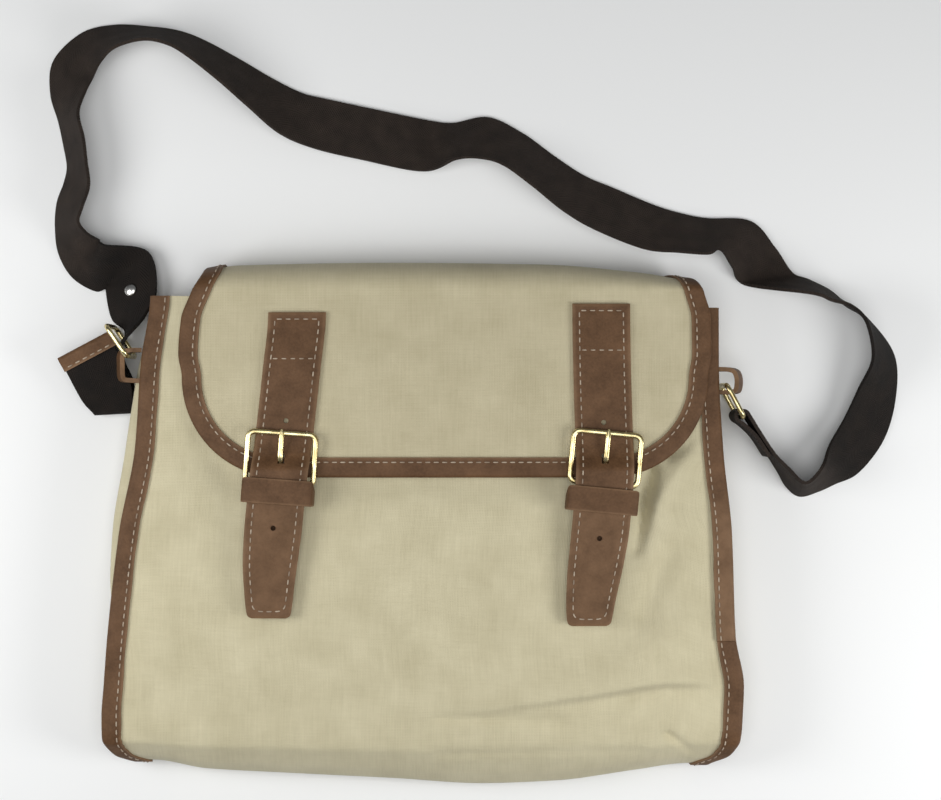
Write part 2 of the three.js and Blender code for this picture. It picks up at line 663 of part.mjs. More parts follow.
// Stations along the flap's edge: a point on its outer line and the way that faces out of the flap.
function flapEdge() {
  const sides = [...flapSideSteps.slice(1), ...flapFoldSteps.slice(0, -1)].reverse();
  const middle = { left: flapLeft(FLAP_CORNER_Y), right: flapRight(FLAP_CORNER_Y) };
  const corner = (centre, from, to) => range(from, to, FLAP_CORNER_STEPS).map((angle) => {
    const out = new THREE.Vector2(Math.cos(radians(angle)), Math.sin(radians(angle)));
    return { x: centre + FLAP_CORNER * out.x, along: FLAP_CORNER_Y + FLAP_CORNER * out.y, out };
  });
  const bottom = range(middle.left + FLAP_CORNER, middle.right - FLAP_CORNER, 9).slice(1, -1);
  return [
    ...sides.map((along) => ({ x: flapLeft(along), along, out: new THREE.Vector2(-1, 0) })),
    ...corner(middle.left + FLAP_CORNER, 180, 270),
    ...bottom.map((x) => ({ x, along: FLAP_BOTTOM, out: new THREE.Vector2(0, -1) })),
    ...corner(middle.right - FLAP_CORNER, 270, 360),
    ...[...sides].reverse().map((along) => ({ x: flapRight(along), along, out: new THREE.Vector2(1, 0) })),
  ];
}

function flapBinding() {
  const outline = tapeSection(BINDING_WIDTH, CANVAS);
  const rings = flapEdge().map(({ x, along, out }) => outline.map((point) => {
    const place = flapPoint(x + point.x * out.x, along + point.x * out.y);
    return place.addScaledVector(flapNormal(x + point.x * out.x, along + point.x * out.y), point.y);
  }));
  return loft(rings, outline);
}

// Closure straps

const beltLift = tableCurve(BELT_LIE, 'y', 'lift');
const beltTaper = tableCurve(BELT_TAPER, 'up', 'share');

function closureStrap(closure) {
  const centre = tableCurve(closure.line, 'y', 'x');
  const top = closure.line[0].y;
  const near = range(64, 16, 12);
  const far = [closure.tip, closure.tip + 3, ...range(closure.tip + 9, 10, 4)].reverse();
  const steps = [...range(top, 72, 4), ...near, ...far];
  const grid = steps.map((y) => [-1, -0.33, 0.33, 1].map((share) => {
    const x = centre(y) + (share * beltTaper(y - closure.tip) * BELT_WIDTH) / 2;
    return vector(x, y, layHeight(x, y) + beltLift(y) + BELT);
  }));
  const drill = (y) => {
    const tool = new THREE.CylinderGeometry(BELT_HOLE, BELT_HOLE, 12, 10);
    tool.rotateX(Math.PI / 2);
    return tool.translate(centre(y), y, layHeight(centre(y), y) + beltLift(y));
  };
  const slotY = PRONG_SLOT.y;
  const slot = new THREE.BoxGeometry(PRONG_SLOT.wide, PRONG_SLOT.length, 16);
  slot.rotateZ(-Math.atan2(centre(slotY + 5) - centre(slotY - 5), 10));
  slot.translate(centre(slotY), slotY, layHeight(centre(slotY), slotY) + beltLift(slotY));
  return cut(sheet(grid, BELT), [...closure.holes.map(drill), slot]);
}

// A frame that follows the front's slope at the buckle, with its Y along the closure strap
function buckleGroup(closure) {
  const centre = tableCurve(closure.line, 'y', 'x');
  const reach = 12;
  const x = centre(BUCKLE_Y);
  const point = (dx, dy) => vector(x + dx, BUCKLE_Y + dy, layHeight(x + dx, BUCKLE_Y + dy));
  const swing = reach * Math.tan(radians(closure.turn));
  const along = point(swing, reach).sub(point(-swing, -reach));
  const yAxis = along.normalize();
  const zAxis = point(reach, 0).sub(point(-reach, 0)).cross(yAxis).normalize();
  const xAxis = new THREE.Vector3().crossVectors(yAxis, zAxis);
  const group = new THREE.Group();
  group.setRotationFromMatrix(new THREE.Matrix4().makeBasis(xAxis, yAxis, zAxis));
  group.position.copy(point(0, 0));
  bag.add(group);
  return group;
}

// Points round a rectangle with round corners, in its own plane.
function roundedPath(width, height, corner, arcs) {
  const turns = [[1, 1, 0], [-1, 1, 90], [-1, -1, 180], [1, -1, 270]];
  return turns.flatMap(([sx, sy, start]) => range(start, start + 90, arcs).map((angle) => new THREE.Vector2(
    sx * (width / 2 - corner) + corner * Math.cos(radians(angle)),
    sy * (height / 2 - corner) + corner * Math.sin(radians(angle)),
  )));
}

// A closed loop of round wire along a flat path that lies in X and Y.
function wireLoop(path, radius, sides) {
  const rings = path.map((point, i) => {
    const ahead = path[(i + 1) % path.length];
    const behind = path[(i + path.length - 1) % path.length];
    const along = ahead.clone().sub(behind).normalize();
    return range(0, 360, sides).slice(0, -1).map((angle) => {
      const out = radius * Math.cos(radians(angle));
      return vector(point.x + out * along.y, point.y - out * along.x, radius * Math.sin(radians(angle)));
    });
  });
  return loft(rings);
}

const BAR_Y = -BUCKLE.height / 2;

// Height of the buckle's plane above the front, which slopes from its top bar to its lower bar.
const buckleLift = (y) => lerp(BUCKLE.barLift, BUCKLE.topLift, y / BUCKLE.height + 0.5);

function buckleFrame() {
  const path = roundedPath(BUCKLE.width, BUCKLE.height, BUCKLE.corner, 4);
  const frame = wireLoop(path, BUCKLE.wire, 8);
  const position = frame.attributes.position;
  for (let i = 0; i < position.count; i += 1) {
    position.setZ(i, position.getZ(i) + buckleLift(position.getY(i)));
  }
  return frame;
}

// The prong: an eye round the lower bar, then a flat tongue whose tip rests on the top bar.
function buckleProng() {
  const { halfWidth, halfThick, clear } = PRONG;
  const eye = BUCKLE.wire + clear + halfThick;
  const round = range(-215, 75, 10).map((angle) => new THREE.Vector2(
    BAR_Y + eye * Math.cos(radians(angle)),
    BUCKLE.barLift + eye * Math.sin(radians(angle)),
  )).reverse();
  const tipY = BUCKLE.height / 2 + 2.2;
  const rest = buckleLift(BUCKLE.height / 2) + BUCKLE.wire + clear + halfThick;
  const tongue = range(0.15, 1, 5).map((share) => new THREE.Vector2(
    lerp(BAR_Y, tipY, share),
    lerp(BUCKLE.barLift + eye, rest, share),
  )).reverse();
  const path = [...tongue, ...round];
  const outline = range(0, 360, 6).slice(0, -1).map((angle) => new THREE.Vector2(
    halfWidth * Math.cos(radians(angle)),
    halfThick * Math.sin(radians(angle)),
  ));
  const rings = path.map((point, i) => {
    const along = path[Math.min(i + 1, path.length - 1)].clone().sub(path[Math.max(i - 1, 0)]).normalize();
    return outline.map(({ x, y }) => vector(x, point.x - y * along.y, point.y + y * along.x));
  });
  return loft(rings, outline);
}

// The keeper: a flat leather loop round the strap and the anchor, leaning over the buckle's bar.
function keeperLoop(closure) {
  const { width, floor, ceiling, wall, height, lean } = KEEPER;
  const tall = ceiling - floor;
  const shape = new THREE.Shape(roundedPath(width + 2 * wall, tall + 2 * wall, 3, 3));
  shape.holes.push(new THREE.Path(roundedPath(width, tall, 1.6, 3).reverse()));
  const loop = new THREE.ExtrudeGeometry(shape, { depth: height, bevelEnabled: false });
  loop.rotateX(Math.PI / 2);
  loop.translate(0, closure.keeper, (floor + ceiling) / 2);
  return loop.applyMatrix4(new THREE.Matrix4().makeShear(0, 0, 0, 0, 0, lean));
}

// The anchor: a leather loop round the buckle's lower bar, with a foot on the front and a prong slot.
function anchorLoop(closure) {
  const { width, slot, wall, foot, plate, length, rise } = ANCHOR;
  const bore = BUCKLE.wire + PRONG.clear;
  const outer = bore + wall;
  const shape = new THREE.Shape();
  const end = BAR_Y - length;
  const past = closure.keeper - KEEPER.height - 2;
  shape.moveTo(end, foot);
  shape.lineTo(past - 2, foot);
  shape.lineTo(past, rise);
  shape.absarc(BAR_Y, BUCKLE.barLift, outer, radians(-90), radians(100), false);
  shape.lineTo(BAR_Y - 9, rise + plate);
  shape.lineTo(past, rise + plate);
  shape.lineTo(past - 4, foot + plate);
  shape.lineTo(end, foot + plate);
  const hole = new THREE.Path();
  hole.absarc(BAR_Y, BUCKLE.barLift, bore, 0, 2 * Math.PI, true);
  shape.holes.push(hole);
  const loop = new THREE.ExtrudeGeometry(shape, { depth: width, bevelEnabled: false, curveSegments: 10 });
  loop.applyMatrix4(new THREE.Matrix4().makeBasis(vector(0, 1, 0), vector(0, 0, 1), vector(1, 0, 0)));
  loop.translate(-width / 2, 0, 0);
  const gap = new THREE.BoxGeometry(slot, 16, 20);
  gap.translate(0, BAR_Y + 2, BUCKLE.barLift);
  return cut(loop, [gap]);
}

// Side rings and tabs

// A ring standing on edge, from the bar in its tab outward along its turn.
function ringMesh(ring) {
  const loop = wireLoop(roundedPath(RING.width, RING.tall, RING.corner, 3), RING.wire, 7);
  loop.rotateX(Math.PI / 2);
  const mesh = addPiece(`ring_${ring.side}`, loop, BRASS, METAL_FINISH);
  const away = RING.width / 2;
  const turn = radians(ring.turn);
  mesh.rotation.z = turn;
  mesh.position.set(
    ring.x + away * Math.cos(turn),
    ring.y + away * Math.sin(turn),
    RING.tall / 2 + RING.wire + SEAT,
  );
}

// A leather tab: a strip on edge, folded round the ring's bar, with its two ends on the side panel.
function sideTab(ring) {
  const grid = ring.tab.map(([x, y]) => [TAB.low, TAB.low + TAB.tall].map((z) => vector(x, y, z)));
  return sheet(grid, TAB.wall);
}

// Webbing strap

// Rows across the webbing along its route: each row's middle and its half width as a vector.
function strapRows() {
  const route = STRAP_ROUTE.map((row, i) => {
    const here = new THREE.Vector2(row.x, row.y);
    const flat = (other) => new THREE.Vector2(other.x, other.y);
    const before = i > 0 ? here.clone().sub(flat(STRAP_ROUTE[i - 1])).normalize() : null;
    const after = i < STRAP_ROUTE.length - 1
      ? flat(STRAP_ROUTE[i + 1]).sub(here).normalize()
      : flat(STRAP_TAIL[0]).sub(here).normalize();
    const way = before ? before.clone().add(after).normalize() : after;
    const reach = row.half ?? STRAP_WIDTH / 2 / Math.max(way.dot(after), 0.7);
    way.rotateAround(new THREE.Vector2(), radians(row.turn ?? 0));
    const lean = radians(row.lean);
    const side = reach * Math.cos(lean);
    const rise = (STRAP_WIDTH / 2) * Math.sin(lean);
    const bed = WEBBING * 0.5 * Math.cos(lean);
    return {
      middle: vector(row.x, row.y, row.lift + rise + bed),
      half: vector(-way.y * side, way.x * side, rise),
    };
  });
  const tail = STRAP_TAIL.map((row) => {
    const flat = row.half * Math.cos(radians(row.rise));
    const rise = row.half * Math.sin(radians(row.rise));
    const angle = radians(row.across);
    return {
      middle: vector(row.x, row.y, row.z),
      half: vector(flat * Math.cos(angle), flat * Math.sin(angle), rise),
    };
  });
  return [...route, ...tail];
}

const webbing = strapRows();

// The direction out of the webbing's face at a row.
function webbingNormal(i) {
  const ahead = webbing[Math.min(i + 1, webbing.length - 1)].middle;
  const along = ahead.clone().sub(webbing[Math.max(i - 1, 0)].middle);
  return along.cross(webbing[i].half).normalize();
}

function shoulderStrap() {
  const grid = webbing.map(({ middle, half }, i) => {
    const face = webbingNormal(i).multiplyScalar(WEBBING / 2);
    return [-1, 1].map((end) => middle.clone().addScaledVector(half, end).add(face));
  });
  return sheet(grid, WEBBING);
}

// The leather cap folded over the webbing's end.
function strapEndCap() {
  const { width, depth, slot, wall, inside } = CAP;
  const thick = slot / 2 + wall;
  const corners = [
    [0, thick], [depth, thick], [depth, -thick], [0, -thick],
    [0, -slot / 2], [inside, -slot / 2], [inside, slot / 2], [0, slot / 2],
  ];
  const shape = new THREE.Shape(corners.map(([x, y]) => new THREE.Vector2(x, y)));
  const fold = new THREE.ExtrudeGeometry(shape, { depth: width, bevelEnabled: false });
  fold.translate(0, 0, -width / 2);
  const end = webbing[webbing.length - 1];
  const along = end.middle.clone().sub(webbing[webbing.length - 2].middle).normalize();
  const across = end.half.clone().normalize();
  const up = across.clone().cross(along).normalize();
  const out = up.clone().cross(across);
  const place = new THREE.Matrix4().makeBasis(out, up, across);
  place.setPosition(end.middle.clone().addScaledVector(out, SEAT - inside));
  return fold.applyMatrix4(place);
}

// The rivet's domed head on the webbing's upper face.
function strapRivet() {
  const { radius, high, seat, row } = RIVET;
  const dome = range(0, 90, 4).map((angle) => new THREE.Vector2(
    Math.max(radius * Math.cos(radians(angle)), 0),
    high * Math.sin(radians(angle)),
  ));
  dome[dome.length - 1].x = 0;
  const head = new THREE.LatheGeometry([new THREE.Vector2(0, 0), ...dome], 12);
  const { middle, half } = webbing[row];
  const normal = webbingNormal(row);
  const up = normal.z > 0 ? normal : normal.negate();
  const across = half.clone().normalize();
  const place = new THREE.Matrix4().makeBasis(across, up, across.clone().cross(up));
  place.setPosition(middle.clone().addScaledVector(up, WEBBING / 2 + seat));
  return head.applyMatrix4(place);
}

addPiece('body_panel', bodyPanel(), CREAM, FABRIC_FINISH);
['left', 'right'].forEach((side) => {
  addPiece(`side_panel_${side}`, sidePanel(side), CREAM, FABRIC_FINISH);
  addPiece(`binding_${side}`, sideBinding(side), BROWN, LEATHER_FINISH);
});
addPiece('flap', flapPanel(), CREAM, FABRIC_FINISH);
addPiece('flap_binding', flapBinding(), BROWN, LEATHER_FINISH);
CLOSURES.forEach((closure) => {
  addPiece(`closure_strap_${closure.side}`, closureStrap(closure), BROWN, LEATHER_FINISH);
  const group = buckleGroup(closure);
  addPiece(`buckle_${closure.side}`, buckleFrame(), BRASS, METAL_FINISH, group);
  addPiece(`prong_${closure.side}`, buckleProng(), BRASS, METAL_FINISH, group);
  addPiece(`keeper_${closure.side}`, keeperLoop(closure), BROWN, LEATHER_FINISH, group);
  addPiece(`anchor_${closure.side}`, anchorLoop(closure), BROWN, LEATHER_FINISH, group);
});
RINGS.forEach((ring) => {
  ringMesh(ring);
  addPiece(`side_tab_${ring.side}`, sideTab(ring), BROWN, LEATHER_FINISH);
});
addPiece('shoulder_strap', shoulderStrap(), DARK, FABRIC_FINISH);
addPiece('strap_end_cap', strapEndCap(), BROWN, LEATHER_FINISH);
addPiece('rivet', strapRivet(), NICKEL, METAL_FINISH);

export default bag;
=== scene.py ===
import bpy
import numpy as np
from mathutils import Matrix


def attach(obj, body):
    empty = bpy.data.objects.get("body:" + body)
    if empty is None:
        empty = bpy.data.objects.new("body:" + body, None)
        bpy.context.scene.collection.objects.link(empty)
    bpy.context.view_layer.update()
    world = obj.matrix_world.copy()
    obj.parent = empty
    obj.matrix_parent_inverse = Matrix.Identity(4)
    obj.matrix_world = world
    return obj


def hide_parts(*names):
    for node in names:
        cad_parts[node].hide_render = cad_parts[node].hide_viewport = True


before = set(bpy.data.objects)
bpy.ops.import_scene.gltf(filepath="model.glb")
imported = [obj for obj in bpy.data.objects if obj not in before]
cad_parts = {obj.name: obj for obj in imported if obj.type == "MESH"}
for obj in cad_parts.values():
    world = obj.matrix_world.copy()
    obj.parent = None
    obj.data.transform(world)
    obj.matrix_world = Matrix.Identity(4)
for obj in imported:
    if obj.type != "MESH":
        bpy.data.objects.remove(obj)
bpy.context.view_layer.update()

# Camera
# The bag is seen from straight above through a long lens, so its front shows square on and the heights
# of its parts only shift them a little away from the middle of the picture.
IMAGE_WIDTH_PX = 941
FOCAL_PX = 2500
SENSOR_MM = 36
EYE_M = (0.0273, 0.078, 1.5)

camera_data = bpy.data.cameras.new("camera")
camera_data.sensor_fit = "HORIZONTAL"
camera_data.sensor_width = SENSOR_MM
camera_data.lens = SENSOR_MM * FOCAL_PX / IMAGE_WIDTH_PX
camera_data.clip_start = 0.05
camera = bpy.data.objects.new("camera", camera_data)
camera.location = EYE_M
bpy.context.scene.collection.objects.link(camera)
bpy.context.scene.camera = camera

# Table and light
# A sheet of pale grey paper lies under the bag. Soft lamps stand low at its left and right, a larger one
# hangs above it, and a dim room fills the shadows.
PAPER_SIZE_M = 6
PAPER_CORNERS = ((-1, -1, 0), (1, -1, 0), (1, 1, 0), (-1, 1, 0))
PAPER_COLOUR, PAPER_ROUGHNESS = (0.87, 0.875, 0.87), 0.75
ROOM_COLOUR = (0.94, 0.97, 1)
ROOM_STRENGTH = 0.13
LAMPS = {
    "lamp_left": {"place": (-0.52, 0.03, 0.45), "size": 0.4, "power": 2.05},
    "lamp_right": {"place": (0.6, -0.15, 0.45), "size": 0.4, "power": 2.5},
    "lamp_above": {"place": (0.0, -0.12, 2.0), "size": 1.4, "power": 15.5},
}
LAMP_AIM_M = np.array((0, 0.05, 0.02))


def new_material(name):
    """A node material, its tree and its shader."""
    material = bpy.data.materials.new(name)
    material.use_nodes = True
    return material, material.node_tree, material.node_tree.nodes["Principled BSDF"]


paper_mesh = bpy.data.meshes.new("table_paper")
paper_mesh.from_pydata(np.array(PAPER_CORNERS) * PAPER_SIZE_M / 2, [], [(0, 1, 2, 3)])
paper = bpy.data.objects.new("table_paper", paper_mesh)
bpy.context.scene.collection.objects.link(paper)
paper_finish, _, paper_shader = new_material("pale_paper")
paper_shader.inputs["Base Color"].default_value = (*PAPER_COLOUR, 1)
paper_shader.inputs["Roughness"].default_value = PAPER_ROUGHNESS
paper_mesh.materials.append(paper_finish)

room = bpy.data.worlds.new("room")
room.use_nodes = True
room.node_tree.nodes["Background"].inputs["Color"].default_value = (*ROOM_COLOUR, 1)
room.node_tree.nodes["Background"].inputs["Strength"].default_value = ROOM_STRENGTH
bpy.context.scene.world = room
bpy.context.scene.view_settings.view_transform = "Standard"

for name, lamp in LAMPS.items():
    light = bpy.data.lights.new(name, "AREA")
    light.shape = "DISK"
    light.size = lamp["size"]
    light.energy = lamp["power"]
    stand = bpy.data.objects.new(name, light)
    stand.location = lamp["place"]
    away = np.array(lamp["place"]) - LAMP_AIM_M
    stand.rotation_euler = (0, np.arccos(away[2] / np.linalg.norm(away)), np.arctan2(away[1], away[0]))
    bpy.context.scene.collection.objects.link(stand)

# Body panel
# One sheet of heavy cream canvas runs down the front, round the bottom and up the back. It is woven in
# a plain weave with thick slubs, sewn to the side panels at its edges, and it slumps in soft folds.
# Sizes from here on are in millimetres; a mesh is made in metres.
MM = 0.001
CANVAS = 1.2
TAPE = 1.1
SEAT = 0.3
SEAM = 0.3
MOUTH_LEFT, MOUTH_RIGHT = 139, 132
FRONT_FOLD_Y = -116
FLANGE_SHARE = 0.926
CANVAS_EDGE_SHARE = 0.987
BACK_INSET = 6
BACK_RISE = SEAM + TAPE
TAIL_RISE = CANVAS + SEAT
FLAP_TAIL_END = 112
CROWN_POWER = 2.5
# Steps between which the edge draws in, share across where the back's edge rises, the ramp over the
# flap's tail, and how late the folds end towards the sides
INSET_FROM, INSET_TO = 1.2, 2
BACK_EDGE_FROM = 0.82
TAIL_RAMP_FROM, TAIL_RAMP_TO = 14, 2
FOLD_END_POWER = 8
SIDE_LINE = {
    "y": [-138, -131, -120, -108, -90, -60, 0, 50, 100, 140],
    "left": [-177, -186.2, -189.2, -189.2, -187.8, -185.4, -178.6, -169.2, -165.8, -160.4],
    "right": [174.5, 183.2, 186.2, 187, 187.6, 182.6, 180.4, 175.2, 172.8, 172.8],
}
FRONT_RISE = {
    "y": [-150, -110, -60, 20, 90, 145],
    "edge": [32, 35, 37.5, 38, 37.5, 36],
    "crown": [5, 7.5, 10, 11, 10, 8],
}
BOTTOM_REACH = {
    "across": [-1, -0.8, -0.5, -0.1, 0.22, 0.5, 0.8, 1],
    "reach": [-136, -141.2, -143.8, -147, -150, -148.4, -142, -138],
}
BOTTOM_SECTION = {
    "step": [0, 0.2, 0.36, 0.55, 0.75, 0.9, 1],
    "out": [0, 0.3, 0.52, 0.82, 1, 0.9, 0.68],
    "drop": [0, 0.05, 0.19, 0.45, 0.72, 0.93, 1],
}
# Soft folds: the line each follows, its height along that line, and how far it fades on its left and right
FOLDS = [
    {"line": [(18, -105), (56, -99), (96, -93), (125, -88), (142, -86), (173, -87)],
     "height": [1, 3, 5, 6.6, 8, 8.6], "fade": (18, 3)},
    {"line": [(171, -50), (160, -64), (146, -80)], "height": [9, 6, 0], "fade": (6, 14)},
    {"line": [(143, -118), (160, -130)], "height": [-4, -3], "fade": (2.6, 2.6)},
    {"line": [(133, 38), (130, 22), (127, 6), (124, -8)], "height": [-8, -9, -8, -4], "fade": (4.2, 5)},
    {"line": [(157, 46), (136, 17)], "height": [6.6, 5.6], "fade": (8, 6)},
    {"line": [(144, 48), (154, 52)], "height": [-8, -8], "fade": (6, 6)},
    {"line": [(144, -12), (136, -28), (129, -46)], "height": [-6.6, -6.6, -4.6], "fade": (9, 9)},
    {"line": [(126, -69), (168, -46)], "height": [3, 3.6], "fade": (12, 10)},
    {"line": [(-166, -60), (-167, -117)], "height": [-2, -2.6], "fade": (5, 5)},
    {"line": [(-150, 0), (-155, -117)], "height": [2.4, 2.8], "fade": (9, 11)},
    {"line": [(-142, -44), (-137, -78)], "height": [-1.8, -1.6], "fade": (6, 6)},
    {"line": [(-144, 90), (-150, 37)], "height": [2, 2], "fade": (8, 8)},
    {"line": [(-130, 55), (-108, 30)], "height": [-3, -3.2], "fade": (9, 9)},
    {"line": [(10, -107), (80, -110)], "height": [-1.4, -1.4], "fade": (4, 4)},
    {"line": [(10, -129), (126, -127)], "height": [-1.6, -1.4], "fade": (3, 3)},
    {"line": [(-62, 35), (84, 35)], "height": [-4.4, -4.4], "fade": (5, 13)},
]
FRONT_ROWS, BOTTOM_ROWS, BACK_ROWS = 170, 50, 40
BODY_COLUMNS = 180


def table_curve(table, key, column):
    """Cubic between a table's rows, whose slope at a row is the harmonic mean of the slopes beside it."""
    places = np.array(table[key], float)
    values = np.array(table[column], float)
    pitch = np.diff(values) / np.diff(places)
    before, after = pitch[:-1], pitch[1:]
    total = np.where(before * after > 0, before + after, np.inf)
    slopes = np.concatenate([[0], 2 * before * after / total, [0]])

    def curve(place):
        at = np.clip(place, places[0], places[-1])
        i = np.clip(np.searchsorted(places, at) - 1, 0, len(places) - 2)
        span = places[i + 1] - places[i]
        t = (at - places[i]) / span
        rest = 1 - t
        ends = values[i] * rest**2 * (1 + 2 * t) + values[i + 1] * t**2 * (3 - 2 * t)
        return ends + span * t * rest * (slopes[i] * rest - slopes[i + 1] * t)

    return curve


def smooth_step(value, low, high):
    """0 below low, 1 above high, and 3t squared less 2t cubed between them."""
    t = np.clip((value - low) / (high - low), 0, 1)
    return t * t * (3 - 2 * t)


def stack(x, y, z):
    """Three arrays that fit each other as one array of points."""
    return np.stack(np.broadcast_arrays(x, y, z), axis=-1).astype(float)


def unit(vectors):
    """Each vector divided by its length."""
    return vectors / np.maximum(np.linalg.norm(vectors, axis=-1, keepdims=True), 1e-9)


def grid_faces(rows, columns):
    """Four-sided faces of a grid of points that are numbered row by row."""
    at = np.arange(rows * columns).reshape(rows, columns)
    return np.stack([at[:-1, :-1], at[1:, :-1], at[1:, 1:], at[:-1, 1:]], axis=-1).reshape(-1, 4)


def closed_sheet(grid, thickness):
    """A sheet with a grid as one face: the other face lies the thickness behind it along the grid's
    normals, and a rim of faces joins the two all round."""
    rows, columns = grid.shape[:2]
    normals = unit(np.cross(np.gradient(grid, axis=0), np.gradient(grid, axis=1)))
    behind = grid - normals * thickness
    points = np.concatenate([grid.reshape(-1, 3), behind.reshape(-1, 3)])
    at = np.arange(rows * columns).reshape(rows, columns)
    rim = np.concatenate([at[0, :-1], at[:-1, -1], at[-1, :0:-1], at[:0:-1, 0]])
    after = np.roll(rim, -1)
    shift = rows * columns
    front = grid_faces(rows, columns)
    edge = np.stack([rim, after, after + shift, rim + shift], axis=-1)
    return points, np.concatenate([front, front[:, ::-1] + shift, edge])


def add_piece(name, points, faces, finish, nodes=(), cloth=None, wear_and_shade=None, sharp=45):
    """A closed mesh of four-sided faces, turned outwards by the sign of its volume. cloth is each point's
    place on the flat material, in millimetres; the share given for wear and shade is from 0 to 1 at each
    point: wear on leather, painted shade on the webbing."""
    corners = points[faces]
    fans = np.cross(corners[:, 1] - corners[:, 0], corners[:, 2] - corners[:, 0])
    fans += np.cross(corners[:, 2] - corners[:, 0], corners[:, 3] - corners[:, 0])
    if np.sum(corners.mean(axis=1) * fans) < 0:
        faces = faces[:, ::-1]
    mesh = bpy.data.meshes.new(name)
    mesh.vertices.add(len(points))
    mesh.vertices.foreach_set("co", (points * MM).ravel())
    mesh.loops.add(faces.size)
    mesh.loops.foreach_set("vertex_index", faces.ravel().astype(np.int32))
    mesh.polygons.add(len(faces))
    mesh.polygons.foreach_set("loop_start", np.arange(0, faces.size, 4, dtype=np.int32))
    mesh.polygons.foreach_set("use_smooth", np.ones(len(faces), bool))
    mesh.update(calc_edges=True)
    if cloth is not None:
        layer = mesh.uv_layers.new(name="cloth")
        layer.data.foreach_set("uv", (cloth[faces.ravel()] * MM).ravel())
    # The point attribute holds wear on leather and painted shade on the webbing
    if wear_and_shade is not None:
        mesh.attributes.new("wear_and_shade", "FLOAT", "POINT").data.foreach_set("value", wear_and_shade.astype(np.float32))
    mesh.set_sharp_from_angle(angle=np.radians(sharp))
    mesh.materials.append(finish)
    piece = bpy.data.objects.new(name, mesh)
    bpy.context.scene.collection.objects.link(piece)
    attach(piece, "root")
    if nodes:
        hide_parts(*nodes)
    return piece


left_line = table_curve(SIDE_LINE, "y", "left")
right_line = table_curve(SIDE_LINE, "y", "right")
edge_rise = table_curve(FRONT_RISE, "y", "edge")
crown_rise = table_curve(FRONT_RISE, "y", "crown")
bottom_reach = table_curve(BOTTOM_REACH, "across", "reach")
bottom_out = table_curve(BOTTOM_SECTION, "step", "out")
bottom_drop = table_curve(BOTTOM_SECTION, "step", "drop")


def across_share(x, y):
    """Distance from the body's middle line as a share of the way to its edge."""
    left, right = left_line(y), right_line(y)
    return np.abs(x - (left + right) / 2) / ((right - left) / 2)


def fold_height(fold, x, y):
    """A bell across the nearest stretch of the fold's line, narrower or wider on either side of it."""
    line = np.array(fold["line"], float)
    nearest = np.full(np.shape(x), np.inf)
    height = np.zeros(np.shape(x))
    for begin, finish, low, high in zip(line[:-1], line[1:], fold["height"][:-1], fold["height"][1:]):
        span = finish - begin
        share = np.clip(((x - begin[0]) * span[0] + (y - begin[1]) * span[1]) / (span @ span), 0, 1)
        off_x, off_y = x - begin[0] - share * span[0], y - begin[1] - share * span[1]
        away = np.hypot(off_x, off_y)
        fade = np.where(span[0] * off_y - span[1] * off_x > 0, *fold["fade"])
        bell = (low + (high - low) * share) * np.exp(-((away / fade) ** 2))
        height = np.where(away < nearest, bell, height)
        nearest = np.minimum(away, nearest)
    return height


def front_height(x, y):
    """Height of the front: the seam's height and a crown of the power 2.5 across."""
    share = np.minimum(across_share(x, y) / FLANGE_SHARE, 1)
    return edge_rise(y) + crown_rise(y) * (1 - share**CROWN_POWER)


def body_point(across, step):
    """Body sheet at a share across (-1 to 1) and a step along: 0 to 1 down the front, to 2 round the
    bottom by its section, to 3 up the back, which lies flat but for its edges and the flap's tail."""
    across, step = np.broadcast_arrays(across, step)
    share = np.clip(across / FLANGE_SHARE, -1, 1)

    def height_up(share):
        mouth = MOUTH_LEFT + (MOUTH_RIGHT - MOUTH_LEFT) * (share + 1) / 2
        reach = FRONT_FOLD_Y - bottom_reach(share)
        down = mouth + (FRONT_FOLD_Y - mouth) * np.clip(step, 0, 1)
        under = FRONT_FOLD_Y - reach * bottom_out(np.clip(step - 1, 0, 1))
        end = FRONT_FOLD_Y - reach * bottom_out(1.0)
        up = end + (mouth - end) * np.clip(step - 2, 0, 1)
        return np.where(step <= 1, down, np.where(step <= 2, under, up))

    y = height_up(share)
    line_y = height_up(np.where(across < 0, -1.0, 1.0))
    inset = BACK_INSET * smooth_step(step, INSET_FROM, INSET_TO)
    left, right = left_line(line_y), right_line(line_y)
    x = (left + right) / 2 + across * ((right - left) / 2 - inset)
    folds = sum(fold_height(fold, x, y) for fold in FOLDS) * (1 - np.abs(share) ** FOLD_END_POWER)
    top = front_height(x, np.maximum(y, FRONT_FOLD_Y)) + folds * (step < 2)
    edge = BACK_RISE * smooth_step(np.abs(across), BACK_EDGE_FROM, FLANGE_SHARE)
    tail = TAIL_RISE * smooth_step(y, FLAP_TAIL_END - TAIL_RAMP_FROM, FLAP_TAIL_END - TAIL_RAMP_TO)
    low = np.maximum(edge, tail * (step > 1.9))
    drop = np.where(step <= 1, 0, bottom_drop(np.clip(step - 1, 0, 1)))
    return stack(x, y, top + (low - top) * drop)


def add_node(tree, kind, inputs=None, **settings):
    """A shader node with its settings; each input is a plain value or another node's output."""
    node = tree.nodes.new(kind)
    for key, value in settings.items():
        setattr(node, key, value)
    for key, value in (inputs or {}).items():
        if isinstance(value, bpy.types.NodeSocket):
            tree.links.new(value, node.inputs[key])
        else:
            node.inputs[key].default_value = value
    return node


def noise(tree, place, scale, detail, **more):
    """Cloudy noise drawn at a place of the material."""
    inputs = {"Vector": place, "Scale": scale, "Detail": detail, **more}
    return add_node(tree, "ShaderNodeTexNoise", inputs).outputs["Fac"]


def combine(tree, operation, *values):
    """Sum, product or other function of values, each a number or another node's output."""
    return add_node(tree, "ShaderNodeMath", dict(enumerate(values)), operation=operation).outputs["Value"]


def blend(tree, share, first, second):
    """The first value, passing into the second by a share."""
    return add_node(tree, "ShaderNodeMix", {"Factor": share, "A": first, "B": second}).outputs["Result"]


